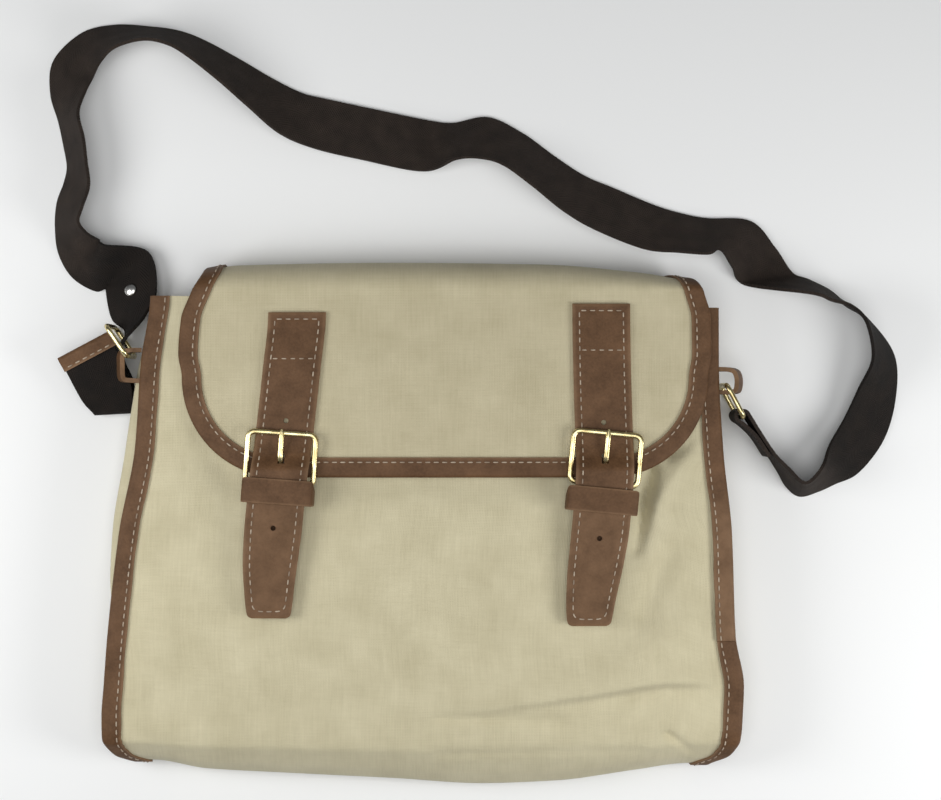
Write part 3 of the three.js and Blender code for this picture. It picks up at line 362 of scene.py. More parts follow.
def colour_ramp(tree, share, dark_at, dark, light_at, light):
    """Colour that passes from dark to light between two shares."""
    ramp = add_node(tree, "ShaderNodeValToRGB", {"Fac": share})
    for stop, at, colour in zip(ramp.color_ramp.elements, (dark_at, light_at), (dark, light)):
        stop.position = at
        stop.color = (*colour, 1)
    return ramp


def roughen(tree, shader, height, strength, distance):
    """Bump of a height on the shader; distance is in metres."""
    bump = add_node(tree, "ShaderNodeBump", {"Strength": strength, "Distance": distance, "Height": height})
    tree.links.new(bump.outputs["Normal"], shader.inputs["Normal"])


def canvas_finish(name, light, dark):
    """Plain weave of warp and weft waves, with slubs drawn out along the warp, in the cloth's own plane."""
    material, tree, shader = new_material(name)
    cloth = add_node(tree, "ShaderNodeUVMap", uv_map="cloth").outputs["UV"]
    wave = {"Vector": cloth, "Scale": 330.0, "Distortion": 1.2, "Detail": 1.0, "Detail Scale": 0.5}
    warp = add_node(tree, "ShaderNodeTexWave", wave, bands_direction="X").outputs["Fac"]
    weft = add_node(tree, "ShaderNodeTexWave", wave, bands_direction="Y").outputs["Fac"]
    drawn = add_node(tree, "ShaderNodeMapping", {"Vector": cloth, "Scale": (900, 45, 1)}).outputs["Vector"]
    slubs = noise(tree, drawn, scale=1.0, detail=3.0)
    crossed = add_node(tree, "ShaderNodeMapping", {"Vector": cloth, "Scale": (60, 900, 1)}).outputs["Vector"]
    picks = noise(tree, crossed, scale=1.0, detail=2.0)
    patches = noise(tree, cloth, scale=40.0, detail=5.0)
    threads = blend(tree, 0.35, slubs, picks)
    tone = blend(tree, 0.55, threads, patches)
    colours = colour_ramp(tree, tone, dark_at=0.32, dark=dark, light_at=0.68, light=light)
    tree.links.new(colours.outputs["Color"], shader.inputs["Base Color"])
    weave = combine(tree, "ADD", warp, weft)
    roughen(tree, shader, combine(tree, "ADD", weave, threads), strength=0.28, distance=0.0004)
    shader.inputs["Roughness"].default_value = 0.95
    shader.inputs["Specular IOR Level"].default_value = 0.2
    shader.inputs["Sheen Weight"].default_value = 0.15
    return material


def path_lengths(grid):
    """Distance walked along a grid's columns, and along its rows, from the first point of each."""
    along = np.linalg.norm(np.diff(grid, axis=0), axis=-1)
    over = np.linalg.norm(np.diff(grid, axis=1), axis=-1)
    walked = np.concatenate([np.zeros((1, grid.shape[1])), np.cumsum(along, axis=0)])
    crossed = np.concatenate([np.zeros((grid.shape[0], 1)), np.cumsum(over, axis=1)], axis=1)
    return np.stack([crossed - crossed.mean(axis=1, keepdims=True), walked], axis=-1)


cream_canvas = canvas_finish("cream_canvas", light=(0.645, 0.588, 0.405), dark=(0.51, 0.458, 0.3))
body_steps = np.concatenate([
    np.linspace(0, 1, FRONT_ROWS, endpoint=False),
    np.linspace(1, 2, BOTTOM_ROWS, endpoint=False),
    np.linspace(2, 3, BACK_ROWS),
])
body_across = np.concatenate([
    [-CANVAS_EDGE_SHARE],
    np.linspace(-FLANGE_SHARE, FLANGE_SHARE, BODY_COLUMNS),
    [CANVAS_EDGE_SHARE],
])
body_grid = body_point(body_across[None, :], body_steps[:, None])
body_points, body_faces = closed_sheet(body_grid, CANVAS)
body_cloth = np.tile(path_lengths(body_grid).reshape(-1, 2), (2, 1))
body_panel = add_piece(
    "body_canvas", body_points, body_faces, cream_canvas, ["body_panel"], body_cloth)

# Side panels
# A strip of the same canvas closes each side. It is sewn face to face with the body sheet along a flat
# seam, folds in behind that seam, and bulges out between the front and the back.
SIDE_SECTION = {
    "out": [-2.4, -13.2, -15.4, -11, -3.5],
    "depth": [0, 0, 3.4, 7.4, 11.8],
    "bulge": [0, 0, 0, 0.3, 0.75],
}
SEWN_COLUMNS = [0, 1, -2, -1]
SIDE_CLEAR = 0.1
SIDE_FULL_DEPTH = 26
SIDE_OPEN_FROM, SIDE_OPEN_TO, SIDE_TUCK = 26.5, 30, -31
SIDE_BULGE = {
    "y": [-130, -60, -20, 45, 90, 140],
    "left": [0, 0, 6, 9.5, 6, 0],
    "right": [0, 0, 0.5, 1, 0.5, 0],
}
# The front seam's step, and the step of the back seam that lies under it
SEAM_PAIRS = {"front": [0, 1, 1.2, 1.36, 1.46], "back": [3, 2, 1.9, 1.83, 1.75]}
SIDE_ROWS, SIDE_COLUMNS = 130, 44


def seam_normal(sign, step):
    """The way out of the body sheet at its edge: the sheet's run crossed with the bag's width."""
    reach = 0.01
    run = body_point(sign, np.minimum(step + reach, 3)) - body_point(sign, np.maximum(step - reach, 0))
    return unit(np.cross(run, (1.0, 0, 0)))


def smooth_line(points, count):
    """Evenly stepped Catmull-Rom curve through points, which are stacked along the second axis."""
    points = np.asarray(points, float)
    before = 2 * points[:, :1] - points[:, 1:2]
    after = 2 * points[:, -1:] - points[:, -2:-1]
    padded = np.concatenate([before, points, after], axis=1)
    place = np.linspace(0, points.shape[1] - 1, count)
    i = np.minimum(place.astype(int), points.shape[1] - 2)
    t = (place - i)[None, :, None]
    p0, p1, p2, p3 = (padded[:, i + k] for k in range(4))
    square = 2 * p0 - 5 * p1 + 4 * p2 - p3
    cube = 3 * p1 - p0 - 3 * p2 + p3
    return 0.5 * (2 * p1 + (p2 - p0) * t + square * t**2 + cube * t**3)


def side_grid(side, sign):
    """Section across the side's depth, from front seam to back seam, drawn at each step along the seam."""
    front_step = np.linspace(0, SEAM_PAIRS["front"][-1], SIDE_ROWS)
    back_step = np.interp(front_step, SEAM_PAIRS["front"], SEAM_PAIRS["back"])
    inset = CANVAS + SEAM + SIDE_CLEAR
    front = body_point(sign, front_step) - inset * seam_normal(sign, front_step)
    back = body_point(sign, back_step) - inset * seam_normal(sign, back_step)
    depth = np.linalg.norm(back - front, axis=-1)[:, None]
    open_share = smooth_step(front[:, 2] - back[:, 2], SIDE_OPEN_FROM, SIDE_OPEN_TO)[:, None]
    swell = table_curve(SIDE_BULGE, "y", side)(front[:, 1])[:, None]
    half_depth = np.array(SIDE_SECTION["depth"])[None, :] * np.minimum(1, depth / SIDE_FULL_DEPTH) / depth
    share = np.concatenate([half_depth, np.full((SIDE_ROWS, 1), 0.5), 1 - half_depth[:, ::-1]], axis=1)
    out = np.array(SIDE_SECTION["out"] + [0] + SIDE_SECTION["out"][::-1])[None, :]
    swelling = np.array(SIDE_SECTION["bulge"] + [1] + SIDE_SECTION["bulge"][::-1])[None, :]
    sewn = np.zeros(out.shape, bool)
    sewn[:, SEWN_COLUMNS] = True
    free = SIDE_TUCK + (out + swell * swelling - SIDE_TUCK) * open_share
    place = front[:, None] + (back - front)[:, None] * share[..., None]
    place[..., 0] += sign * np.where(sewn, out, free)
    return smooth_line(place, SIDE_COLUMNS)


for side, sign in (("left", -1), ("right", 1)):
    grid = side_grid(side, sign)
    grid = grid if sign < 0 else grid[:, ::-1]
    points, faces = closed_sheet(grid, CANVAS)
    cloth = np.tile(path_lengths(grid).reshape(-1, 2), (2, 1))
    side_panel = add_piece(
        f"side_canvas_{side}", points, faces, cream_canvas, [f"side_panel_{side}"], cloth)

# Side bindings
# A tape of brown leather is folded over each side seam, down the front, round the bottom corner and up
# the back, and sewn through with cream thread. The right one is in two lengths, the upper lapped over
# the lower on the front and coloured paler there.
BINDING_WIDTH = 11.7
BINDING_STITCH_IN = 2.6
BINDING_STEPS = 260
STITCH_PITCH, STITCH_LENGTH, STITCH_RADIUS = 4.9, 3.3, 0.42
STITCH_RINGS, STITCH_SIDES = 7, 6
STITCH_SINK = 0.62
TAPE_WORN = 0.12
# The tape's free edge wanders this far, by two waves along it
RIPPLE, RIPPLE_WAVES, RIPPLE_BEYOND = 0.25, (41, 17.3), -8
# The joint's place along the tape, its rise and how much paler the lapped length is, the ramp up to it and
# the gap across it
JOINT_STEP, JOINT_LIFT, JOINT_PALE = 0.786, 1.1, 0.8
JOINT_RAMP_FROM, JOINT_RAMP_TO, JOINT_GAP = 0.42, 0.25, 0.001


def leather_finish(name, light, dark, worn):
    """Mottled brown by two noises, paler where wear is high, over a grain of small cells."""
    material, tree, shader = new_material(name)
    place = add_node(tree, "ShaderNodeTexCoord").outputs["Object"]
    blotches = noise(tree, place, scale=70.0, detail=6.0, Roughness=0.62)
    specks = noise(tree, place, scale=700.0, detail=3.0)
    tone = blend(tree, 0.3, blotches, specks)
    colours = colour_ramp(tree, tone, dark_at=0.34, dark=dark, light_at=0.68, light=light)
    wear_and_shade = add_node(tree, "ShaderNodeAttribute", attribute_name="wear_and_shade").outputs["Fac"]
    rubbed = combine(tree, "MULTIPLY", wear_and_shade, blotches)
    shades = {"Factor": rubbed, "A": colours.outputs["Color"], "B": (*worn, 1)}
    shade = add_node(tree, "ShaderNodeMix", shades, data_type="RGBA")
    tree.links.new(shade.outputs["Result"], shader.inputs["Base Color"])
    cells = add_node(tree, "ShaderNodeTexVoronoi", {"Vector": place, "Scale": 850.0}).outputs["Distance"]
    roughen(tree, shader, combine(tree, "ADD", cells, specks), strength=0.35, distance=0.0003)
    gloss = add_node(tree, "ShaderNodeMapRange", {"Value": blotches, "To Min": 0.75, "To Max": 0.52})
    tree.links.new(gloss.outputs["Result"], shader.inputs["Roughness"])
    shader.inputs["Specular IOR Level"].default_value = 0.28
    return material


def thread_finish(name, light, dark):
    """Cotton thread, a little darker in patches."""
    material, tree, shader = new_material(name)
    place = add_node(tree, "ShaderNodeTexCoord").outputs["Object"]
    dirt = noise(tree, place, scale=160.0, detail=3.0)
    colours = colour_ramp(tree, dirt, dark_at=0.35, dark=dark, light_at=0.65, light=light)
    tree.links.new(colours.outputs["Color"], shader.inputs["Base Color"])
    shader.inputs["Roughness"].default_value = 0.85
    return material


brown_leather = leather_finish(
    "brown_leather", light=(0.15, 0.075, 0.033), dark=(0.08, 0.038, 0.015), worn=(0.26, 0.155, 0.083))
cream_thread = thread_finish("cream_thread", light=(0.5, 0.41, 0.31), dark=(0.28, 0.21, 0.15))


def tape_profile(width, layers, flat_points=7, fold_points=9):
    """Outside of a folded tape: a flat run, a half circle round the edges that it covers, a flat run back.
    The first column is outward from the seam's edge line, the second up from the sheet's outer face."""
    top, low = SEAM + TAPE, -layers - SEAM - TAPE
    radius = (top - low) / 2
    run = np.linspace(-width, -radius, flat_points)[:-1]
    turn = np.linspace(np.pi / 2, -np.pi / 2, fold_points)
    fold = np.stack([-radius + radius * np.cos(turn), (top + low) / 2 + radius * np.sin(turn)], axis=-1)
    upper = np.stack([run, np.full_like(run, top)], axis=-1)
    lower = np.stack([run[::-1], np.full_like(run, low)], axis=-1)
    return np.concatenate([upper, fold, lower])


def stitch_row(path, normals):
    """Threads along a path: each is a short tube whose two ends dip into the leather, one every pitch."""
    walked = np.concatenate([[0], np.cumsum(np.linalg.norm(np.diff(path, axis=0), axis=-1))])
    count = max(int(walked[-1] / STITCH_PITCH), 1)
    middle = (np.arange(count) + 0.5) * walked[-1] / count
    share = np.linspace(-1, 1, STITCH_RINGS)
    place = middle[:, None] + share[None, :] * STITCH_LENGTH / 2
    line = np.stack([np.interp(place, walked, path[:, k]) for k in range(3)], axis=-1)
    up = unit(np.stack([np.interp(place, walked, normals[:, k]) for k in range(3)], axis=-1))
    along = unit(np.gradient(line, axis=1))
    over = unit(np.cross(along, up))
    thick = STITCH_RADIUS * np.sqrt(np.maximum(1 - share**6, 0.06))
    lift = STITCH_RADIUS * (0.45 - 0.9 * share**4)
    turn = np.arange(STITCH_SIDES) * 2 * np.pi / STITCH_SIDES
    ring = np.cos(turn)[:, None] * over[:, :, None, :] + np.sin(turn)[:, None] * up[:, :, None, :]
    points = (line + lift[None, :, None] * up)[:, :, None, :] + thick[None, :, None, None] * ring
    at = np.arange(STITCH_RINGS * STITCH_SIDES).reshape(STITCH_RINGS, STITCH_SIDES)
    after = np.roll(at, -1, axis=1)
    tube = np.stack([at[:-1], after[:-1], after[1:], at[1:]], axis=-1).reshape(-1, 4)
    end = np.array([[3, 2, 1, 0], [5, 4, 3, 0]])
    faces = np.concatenate([tube, end, end[:, ::-1] + at[-1, 0]])
    return points.reshape(-1, 3), (faces[None] + at.size * np.arange(count)[:, None, None]).reshape(-1, 4)


def add_stitches(name, rows):
    """One piece of thread for several rows of stitches, each a path and the leather's normals along it."""
    points, faces, shift = [], [], 0
    for path, normals in rows:
        row_points, row_faces = stitch_row(path, normals)
        points.append(row_points)
        faces.append(row_faces + shift)
        shift += len(row_points)
    return add_piece(name, np.concatenate(points), np.concatenate(faces), cream_thread, sharp=70)


def edge_wear(worn, columns):
    """1 at the first and last columns of a strip, falling to 0 over the worn share of its half width."""
    share = np.abs(np.linspace(-1, 1, columns))
    return smooth_step(share, 1 - worn, 1)


side_layers = 2 * CANVAS + SEAM
for side, sign in (("left", -1), ("right", 1)):
    at_joint = (JOINT_STEP - JOINT_GAP, JOINT_STEP + JOINT_GAP)
    step = np.sort(np.concatenate([np.linspace(0, 3, BINDING_STEPS), at_joint]))
    edge = body_point(float(sign), step)
    normal = seam_normal(float(sign), step)
    profile = tape_profile(BINDING_WIDTH, side_layers)
    ripple = RIPPLE * np.sin(step * RIPPLE_WAVES[0] + sign) * np.sin(step * RIPPLE_WAVES[1])
    out = profile[None, :, 0] + ripple[:, None] * (profile[None, :, 0] < RIPPLE_BEYOND)
    ramp = smooth_step(step, JOINT_STEP - JOINT_RAMP_FROM, JOINT_STEP - JOINT_RAMP_TO)
    lap = (sign > 0) * ramp * (step < JOINT_STEP)
    rise = profile[None, :, 1] + JOINT_LIFT * lap[:, None] * (profile[None, :, 1] > 0)
    grid = edge[:, None] + normal[:, None] * rise[..., None]
    grid[..., 0] += sign * out
    grid = grid if sign > 0 else grid[:, ::-1]
    points, faces = closed_sheet(grid, TAPE)
    wear_and_shade = np.maximum(edge_wear(TAPE_WORN, grid.shape[1]), JOINT_PALE * np.tile(lap, 2)[:, None]).ravel()
    add_piece(f"binding_leather_{side}", points, faces, brown_leather, [f"binding_{side}"],
              wear_and_shade=wear_and_shade)
    inside = -BINDING_WIDTH + BINDING_STITCH_IN
    shift = np.array((sign * inside, 0, 0))
    face_line = edge + shift + normal * (SEAM + TAPE + JOINT_LIFT * lap)[:, None]
    face_line[:, 2] = np.maximum(face_line[:, 2], STITCH_SINK)
    inner_line = edge + shift - normal * (side_layers + SEAM + TAPE)
    add_stitches(f"binding_stitches_{side}", [(face_line, normal), (inner_line, -normal)])

# Flap
# A second sheet of the canvas is sewn to the back with its tail, folds over the mouth and lies down the
# front. Its two lower corners are round.
FLAP_BOTTOM, FLAP_CORNER = 33, 58
FLAP_FOLD_FRONT, FLAP_FOLD_BACK, FLAP_FOLD_LENGTH = 142, 143.5, 56
FLAP_LIFT = SEAT + TAPE + SEAM + CANVAS
FLAP_EDGE_INSET = 1.5
FLAP_LINE = {
    "along": [91, 105, 125, 142, 160, 200, 240],
    "left": [-141, -143.2, -141.8, -135.5, -130, -128, -128],
    "right": [166, 168, 167.8, 163.5, 160, 149, 149],
}
FLAP_REACH = {"x": [-140, -110, -20, 70, 125, 165], "reach": [153.5, 157.5, 159, 158, 153.5, 148.5]}
FLAP_CLIMB_FROM, FLAP_CLIMB_TO = 80, 7
FLAP_COLUMNS = 120
FLAP_CORNER_ROWS, FLAP_SIDE_ROWS, FLAP_FOLD_ROWS, FLAP_TAIL_ROWS = 46, 36, 40, 10

flap_left = table_curve(FLAP_LINE, "along", "left")
flap_right = table_curve(FLAP_LINE, "along", "right")
flap_reach = table_curve(FLAP_REACH, "x", "reach")
flap_corner_y = FLAP_BOTTOM + FLAP_CORNER
flap_tail_start = FLAP_FOLD_FRONT + FLAP_FOLD_LENGTH
flap_length = flap_tail_start + FLAP_FOLD_BACK - FLAP_TAIL_END


def lay_height(x, y):
    """Height of what lies over the front: a crown of the power 2.5 that climbs onto the right binding."""
    climb = (SEAM + TAPE) * smooth_step(x, right_line(y) - FLAP_CLIMB_FROM, right_line(y) - FLAP_CLIMB_TO)
    return edge_rise(y) + crown_rise(y) * (1 - across_share(x, y) ** CROWN_POWER) + climb


def flap_point(x, along):
    """Flap at a place across and along: up the front, half a wave over the mouth, flat down the back."""
    x, along = np.broadcast_arrays(np.asarray(x, float), np.asarray(along, float))
    turn = np.clip((along - FLAP_FOLD_FRONT) / FLAP_FOLD_LENGTH, 0, 1)
    straight = FLAP_FOLD_FRONT + (FLAP_FOLD_BACK - FLAP_FOLD_FRONT) * turn
    bulge = flap_reach(x) - (FLAP_FOLD_FRONT + FLAP_FOLD_BACK) / 2
    top = lay_height(x, np.minimum(along, FLAP_FOLD_FRONT)) + FLAP_LIFT
    tail = np.maximum(along - flap_tail_start, 0)
    y = np.where(along < FLAP_FOLD_FRONT, along, straight + bulge * np.sin(np.pi * turn) - tail)
    return stack(x, y, top * (0.5 + 0.5 * np.cos(np.pi * turn)))


def flap_normal(x, along):
    """Across crossed with along, from points on either side."""
    reach = 0.2
    over = flap_point(x + reach, along) - flap_point(x - reach, along)
    up = flap_point(x, along + reach) - flap_point(x, along - reach)
    return unit(np.cross(over, up))


corner_angle = np.radians(np.linspace(90, 0, FLAP_CORNER_ROWS))
corner_radius = FLAP_CORNER - FLAP_EDGE_INSET
flap_rows = np.concatenate([
    flap_corner_y - corner_radius * np.sin(corner_angle),
    np.linspace(flap_corner_y, FLAP_FOLD_FRONT, FLAP_SIDE_ROWS)[1:],
    np.linspace(FLAP_FOLD_FRONT, flap_tail_start, FLAP_FOLD_ROWS)[1:],
    np.linspace(flap_tail_start, flap_length, FLAP_TAIL_ROWS)[1:],
])
corner_shrink = corner_radius * (1 - np.cos(corner_angle))
flap_shrink = FLAP_EDGE_INSET + np.pad(corner_shrink, (0, len(flap_rows) - FLAP_CORNER_ROWS))
flap_share = np.linspace(0, 1, FLAP_COLUMNS)[None, :]
flap_from = (flap_left(flap_rows) + flap_shrink)[:, None]
flap_to = (flap_right(flap_rows) - flap_shrink)[:, None]
flap_x = flap_from + (flap_to - flap_from) * flap_share
flap_grid = flap_point(flap_x, flap_rows[:, None])[::-1]
flap_points, flap_faces = closed_sheet(flap_grid, CANVAS)
flap_cloth = np.stack([flap_x, np.broadcast_to(flap_rows[:, None], flap_x.shape)], axis=-1)[::-1]
flap_cloth = np.tile(flap_cloth.reshape(-1, 2), (2, 1))
# Painted shade: the flap's canvas is a darker copy of the cream canvas, standing in for the shade on the flap
shaded_flap_canvas = canvas_finish("shaded_flap_canvas", light=(0.575, 0.516, 0.352), dark=(0.46, 0.408, 0.264))
flap_sheet = add_piece("flap_canvas", flap_points, flap_faces, shaded_flap_canvas, ["flap"], flap_cloth)

# Flap binding
# The same leather tape is folded over the flap's edge, down one side, round the corners and up the
# other side into the fold, and sewn through near its free edge.
FLAP_BINDING_TOP = FLAP_FOLD_FRONT + 0.75 * FLAP_FOLD_LENGTH
FLAP_STITCH_IN = 2.8
EDGE_SIDE_ROWS, EDGE_CORNER_ROWS, EDGE_BOTTOM_ROWS = 60, 40, 70

side_run = np.linspace(FLAP_BINDING_TOP, flap_corner_y, EDGE_SIDE_ROWS)[:-1]
turn_angle = np.radians(np.linspace(180, 270, EDGE_CORNER_ROWS))
left_centre = flap_left(flap_corner_y) + FLAP_CORNER
right_centre = flap_right(flap_corner_y) - FLAP_CORNER
bottom_run = np.linspace(left_centre, right_centre, EDGE_BOTTOM_ROWS)[1:-1]
edge_x = np.concatenate([
    flap_left(side_run),
    left_centre + FLAP_CORNER * np.cos(turn_angle),
    bottom_run,
    right_centre - FLAP_CORNER * np.cos(turn_angle[::-1]),
    flap_right(side_run[::-1]),
])
edge_along = np.concatenate([
    side_run,
    flap_corner_y + FLAP_CORNER * np.sin(turn_angle),
    np.full_like(bottom_run, FLAP_BOTTOM),
    flap_corner_y + FLAP_CORNER * np.sin(turn_angle[::-1]),
    side_run[::-1],
])
edge_out = np.concatenate([
    np.tile((-1.0, 0), (len(side_run), 1)),
    np.stack([np.cos(turn_angle), np.sin(turn_angle)], axis=-1),
    np.tile((0, -1.0), (len(bottom_run), 1)),
    np.stack([-np.cos(turn_angle[::-1]), np.sin(turn_angle[::-1])], axis=-1),
    np.tile((1.0, 0), (len(side_run), 1)),
])


def flap_edge_point(inward, height):
    """Points beside the flap's edge: inward across the flap, then up along its normal."""
    x = edge_x[:, None] + inward * edge_out[:, :1]
    along = edge_along[:, None] + inward * edge_out[:, 1:]
    normal = flap_normal(x, along)
    return flap_point(x, along) + normal * np.asarray(height)[..., None], normal


flap_profile = tape_profile(BINDING_WIDTH, CANVAS)
binding_grid, _ = flap_edge_point(flap_profile[None, :, 0], flap_profile[None, :, 1])
points, faces = closed_sheet(binding_grid[:, ::-1], TAPE)
wear_and_shade = np.tile(edge_wear(TAPE_WORN, binding_grid.shape[1]), (2 * len(edge_x), 1)).ravel()
add_piece("flap_binding_leather", points, faces, brown_leather, ["flap_binding"], wear_and_shade=wear_and_shade)
stitch_in = np.full((1, 1), FLAP_STITCH_IN - BINDING_WIDTH)
stitch_line, stitch_up = flap_edge_point(stitch_in, np.full((1, 1), SEAM + TAPE))
add_stitches("flap_binding_stitches", [(stitch_line[:, 0], stitch_up[:, 0])])

# Closure straps
# Two straps of thick brown leather are sewn flat on the flap with a box of stitches. Each goes down under
# its buckle's top bar, over the lower bar and through the keeper, and ends in a tapered tongue.
BELT = 2.2
BELT_WIDTH = 33.6
BELT_ROWS, BELT_COLUMNS = 190, 30
BELT_HOLE_RADIUS = 1.5
PRONG_SLOT_Y, PRONG_SLOT_LENGTH, PRONG_SLOT_WIDE = 44, 5.4, 4
BELT_STITCH_IN = 4
BELT_BOX_CROSS = 27
BELT_STITCH_SINK = 0.2
BELT_TIP_ROUND = 6
BELT_TIP_RUN, BELT_TIP_ROWS = 5, 12
HOLE_SIDES, HOLE_REACH, SLOT_REACH = 20, 6, 8
# Dip along the stitch line, rounding of the edge, and wear in from the edge and down the tongue
GROOVE_DEPTH, GROOVE_WIDE = 0.22, 0.8
EDGE_ROUND, EDGE_ROUND_WIDE = 0.55, 1.1
EDGE_WORN_FROM, EDGE_WORN_TO = 0.2, 2.5
TONGUE_RUB, TONGUE_RUB_LOW, TONGUE_RUB_HIGH = 0.4, 8, 34
CLOSURES = {
    "left": {
        "y": [-52, -28, 5, 30, 61, 95, 129],
        "x": [-89.6, -89.2, -86.5, -83.8, -80.2, -76.5, -73.4],
        "holes": [66, 21, 4],
        "tip": -48.5, "turn": 4, "keeper": -18.6,
    },
    "right": {
        "y": [-56, 5, 30, 45, 61, 95, 134],
        "x": [96, 102.6, 104.6, 105.2, 104.7, 103.7, 103.3],
        "holes": [65, 21, -2],
        "tip": -53, "turn": 5.5, "keeper": -23.6,
    },
}
BELT_LIE = {
    "y": [-56, -10, 20, 30, 37, 46.5, 54, 60, 140],
    "lift": [4.6, 7, 10, 11.1, 10.9, 5.2, 3.5, 3.2, 3.2],
}
BELT_TAPER = {
    "up": [0, 0.7, 2, 5, 16, 36, 56, 200],
    "share": [0.6, 0.69, 0.75, 0.79, 0.86, 0.96, 1, 1],
}

belt_lift = table_curve(BELT_LIE, "y", "lift")
belt_taper = table_curve(BELT_TAPER, "up", "share")


def belt_point(closure, share, y):
    """Upper face of a closure strap at a share of its half width and a height up the bag."""
    x = table_curve(closure, "y", "x")(y) + share * belt_taper(y - closure["tip"]) * BELT_WIDTH / 2
    return stack(x, y, lay_height(x, y) + belt_lift(y) + BELT)


def cut_holes(piece, cutters):
    """The piece with each cutter's space taken out of its mesh."""
    for points, faces in cutters:
        mesh = bpy.data.meshes.new("cutter")
        mesh.from_pydata(points * MM, [], faces)
        cutter = bpy.data.objects.new("cutter", mesh)
        bpy.context.scene.collection.objects.link(cutter)
        hole = piece.modifiers.new("hole", "BOOLEAN")
        hole.operation = "DIFFERENCE"
        hole.solver = "EXACT"
        hole.object = cutter
        whole = piece.evaluated_get(bpy.context.evaluated_depsgraph_get())
        plain = piece.data
        piece.data = bpy.data.meshes.new_from_object(whole)
        piece.modifiers.clear()
        bpy.data.objects.remove(cutter)
        bpy.data.meshes.remove(plain)


def post(x, y, z, half_x, half_y, reach, sides):
    """An upright post with an oval or square foot, from a reach below a place to a reach above it."""
    turn = (np.arange(sides) + 0.5) * 2 * np.pi / sides
    grow = 1 / np.cos(np.pi / sides) if sides == 4 else 1
    ring = np.stack([x + half_x * grow * np.cos(turn), y + half_y * grow * np.sin(turn)], axis=-1)
    low = np.column_stack([ring, np.full(sides, z - reach)])
    high = np.column_stack([ring, np.full(sides, z + reach)])
    walls = [(i, (i + 1) % sides, sides + (i + 1) % sides, sides + i) for i in range(sides)]
    return np.concatenate([low, high]), [*walls, tuple(range(sides))[::-1], tuple(range(sides, 2 * sides))]


for side, closure in CLOSURES.items():
    centre = table_curve(closure, "y", "x")
    tip, top = closure["tip"], closure["y"][-1]
    y = np.concatenate([
        np.linspace(top, tip + BELT_TIP_RUN, BELT_ROWS - BELT_TIP_ROWS),
        tip + BELT_TIP_RUN * np.linspace(1, 0, BELT_TIP_ROWS + 1)[1:] ** 2,
    ])
    share = np.sin(np.linspace(-np.pi / 2, np.pi / 2, BELT_COLUMNS))
    grid = belt_point(closure, share[None, :], y[:, None])
    half_width = belt_taper(y - tip)[:, None] * BELT_WIDTH / 2
    from_end = np.minimum(y - tip, top - y)[:, None]
    from_edge = np.minimum((1 - np.abs(share))[None, :] * half_width, from_end)
    groove = GROOVE_DEPTH * np.exp(-(((from_edge - BELT_STITCH_IN) / GROOVE_WIDE) ** 2))
    rounding = EDGE_ROUND * (1 - smooth_step(from_edge, 0, EDGE_ROUND_WIDE))
    grid[..., 2] -= groove + rounding
    points, faces = closed_sheet(grid, BELT)
    tongue = TONGUE_RUB * (1 - smooth_step(y, TONGUE_RUB_LOW, TONGUE_RUB_HIGH))[:, None]
    rubbed = 1 - smooth_step(from_edge, EDGE_WORN_FROM, EDGE_WORN_TO)
    wear_and_shade = np.tile(np.maximum(rubbed, tongue).ravel(), 2)
    strap = add_piece(f"closure_leather_{side}", points, faces, brown_leather,
                      [f"closure_strap_{side}"], wear_and_shade=wear_and_shade)
    level = [belt_point(closure, 0.0, float(at))[2] for at in (*closure["holes"], PRONG_SLOT_Y)]
    cutters = [post(centre(at), at, z, BELT_HOLE_RADIUS, BELT_HOLE_RADIUS, HOLE_REACH, HOLE_SIDES)
               for at, z in zip(closure["holes"], level)]
    slot_half_wide, slot_half_long = PRONG_SLOT_WIDE / 2, PRONG_SLOT_LENGTH / 2
    cutters.append(post(centre(PRONG_SLOT_Y), PRONG_SLOT_Y, level[-1], slot_half_wide, slot_half_long,
                        SLOT_REACH, sides=4))
    cut_holes(strap, cutters)

    def stitch_path(along, edge_share):
        """Stitch line at a share of the stitched half width, along the strap, and the way up out of it."""
        inside = belt_taper(along - tip) * BELT_WIDTH / 2 - BELT_STITCH_IN
        place = belt_point(closure, edge_share * inside / (belt_taper(along - tip) * BELT_WIDTH / 2), along)
        place[..., 2] -= BELT_STITCH_SINK
        return place, np.tile((0, 0, 1.0), (len(along), 1))

    bend = np.radians(np.linspace(180, 360, 41))
    round_y = tip + BELT_STITCH_IN + BELT_TIP_ROUND * (1 - np.sqrt(np.abs(np.sin(bend))))
    round_share = np.sign(np.cos(bend)) * np.sqrt(np.abs(np.cos(bend)))
    down = np.linspace(top - BELT_STITCH_IN, tip + BELT_STITCH_IN + BELT_TIP_ROUND, 120)[:-1]
    along = np.concatenate([down, round_y, down[::-1]])
    beside = np.concatenate([np.full(len(down), -1.0), round_share, np.ones(len(down))])
    across = np.linspace(-1, 1, 12)
    rows = [stitch_path(along, beside)]
    box_ends = (top - BELT_STITCH_IN, top - BELT_BOX_CROSS)
    rows += [stitch_path(np.full_like(across, at), across) for at in box_ends]
    add_stitches(f"closure_stitches_{side}", rows)

# Buckles
# Each closure strap has a roller-free brass frame of rounded wire, held by its lower bar. A flat brass
# prong is bent round that bar, comes up through the strap and rests on the top bar.
BUCKLE_Y = 44
BUCKLE_WIDTH, BUCKLE_HEIGHT, BUCKLE_CORNER, BUCKLE_WIRE = 39.6, 29.6, 4, 1.6
BUCKLE_TOP_LIFT, BUCKLE_BAR_LIFT = 7.4, 6.8
PRONG_HALF_WIDTH, PRONG_HALF_THICK, PRONG_CLEAR = 1.6, 0.9, 0.25
PRONG_PAST_BAR = 2.2
PRONG_DIP, PRONG_DIP_Y, PRONG_DIP_WIDE = 1.8, -3.4, 3
BUCKLE_SLOPE_REACH = 12
bar_y = -BUCKLE_HEIGHT / 2


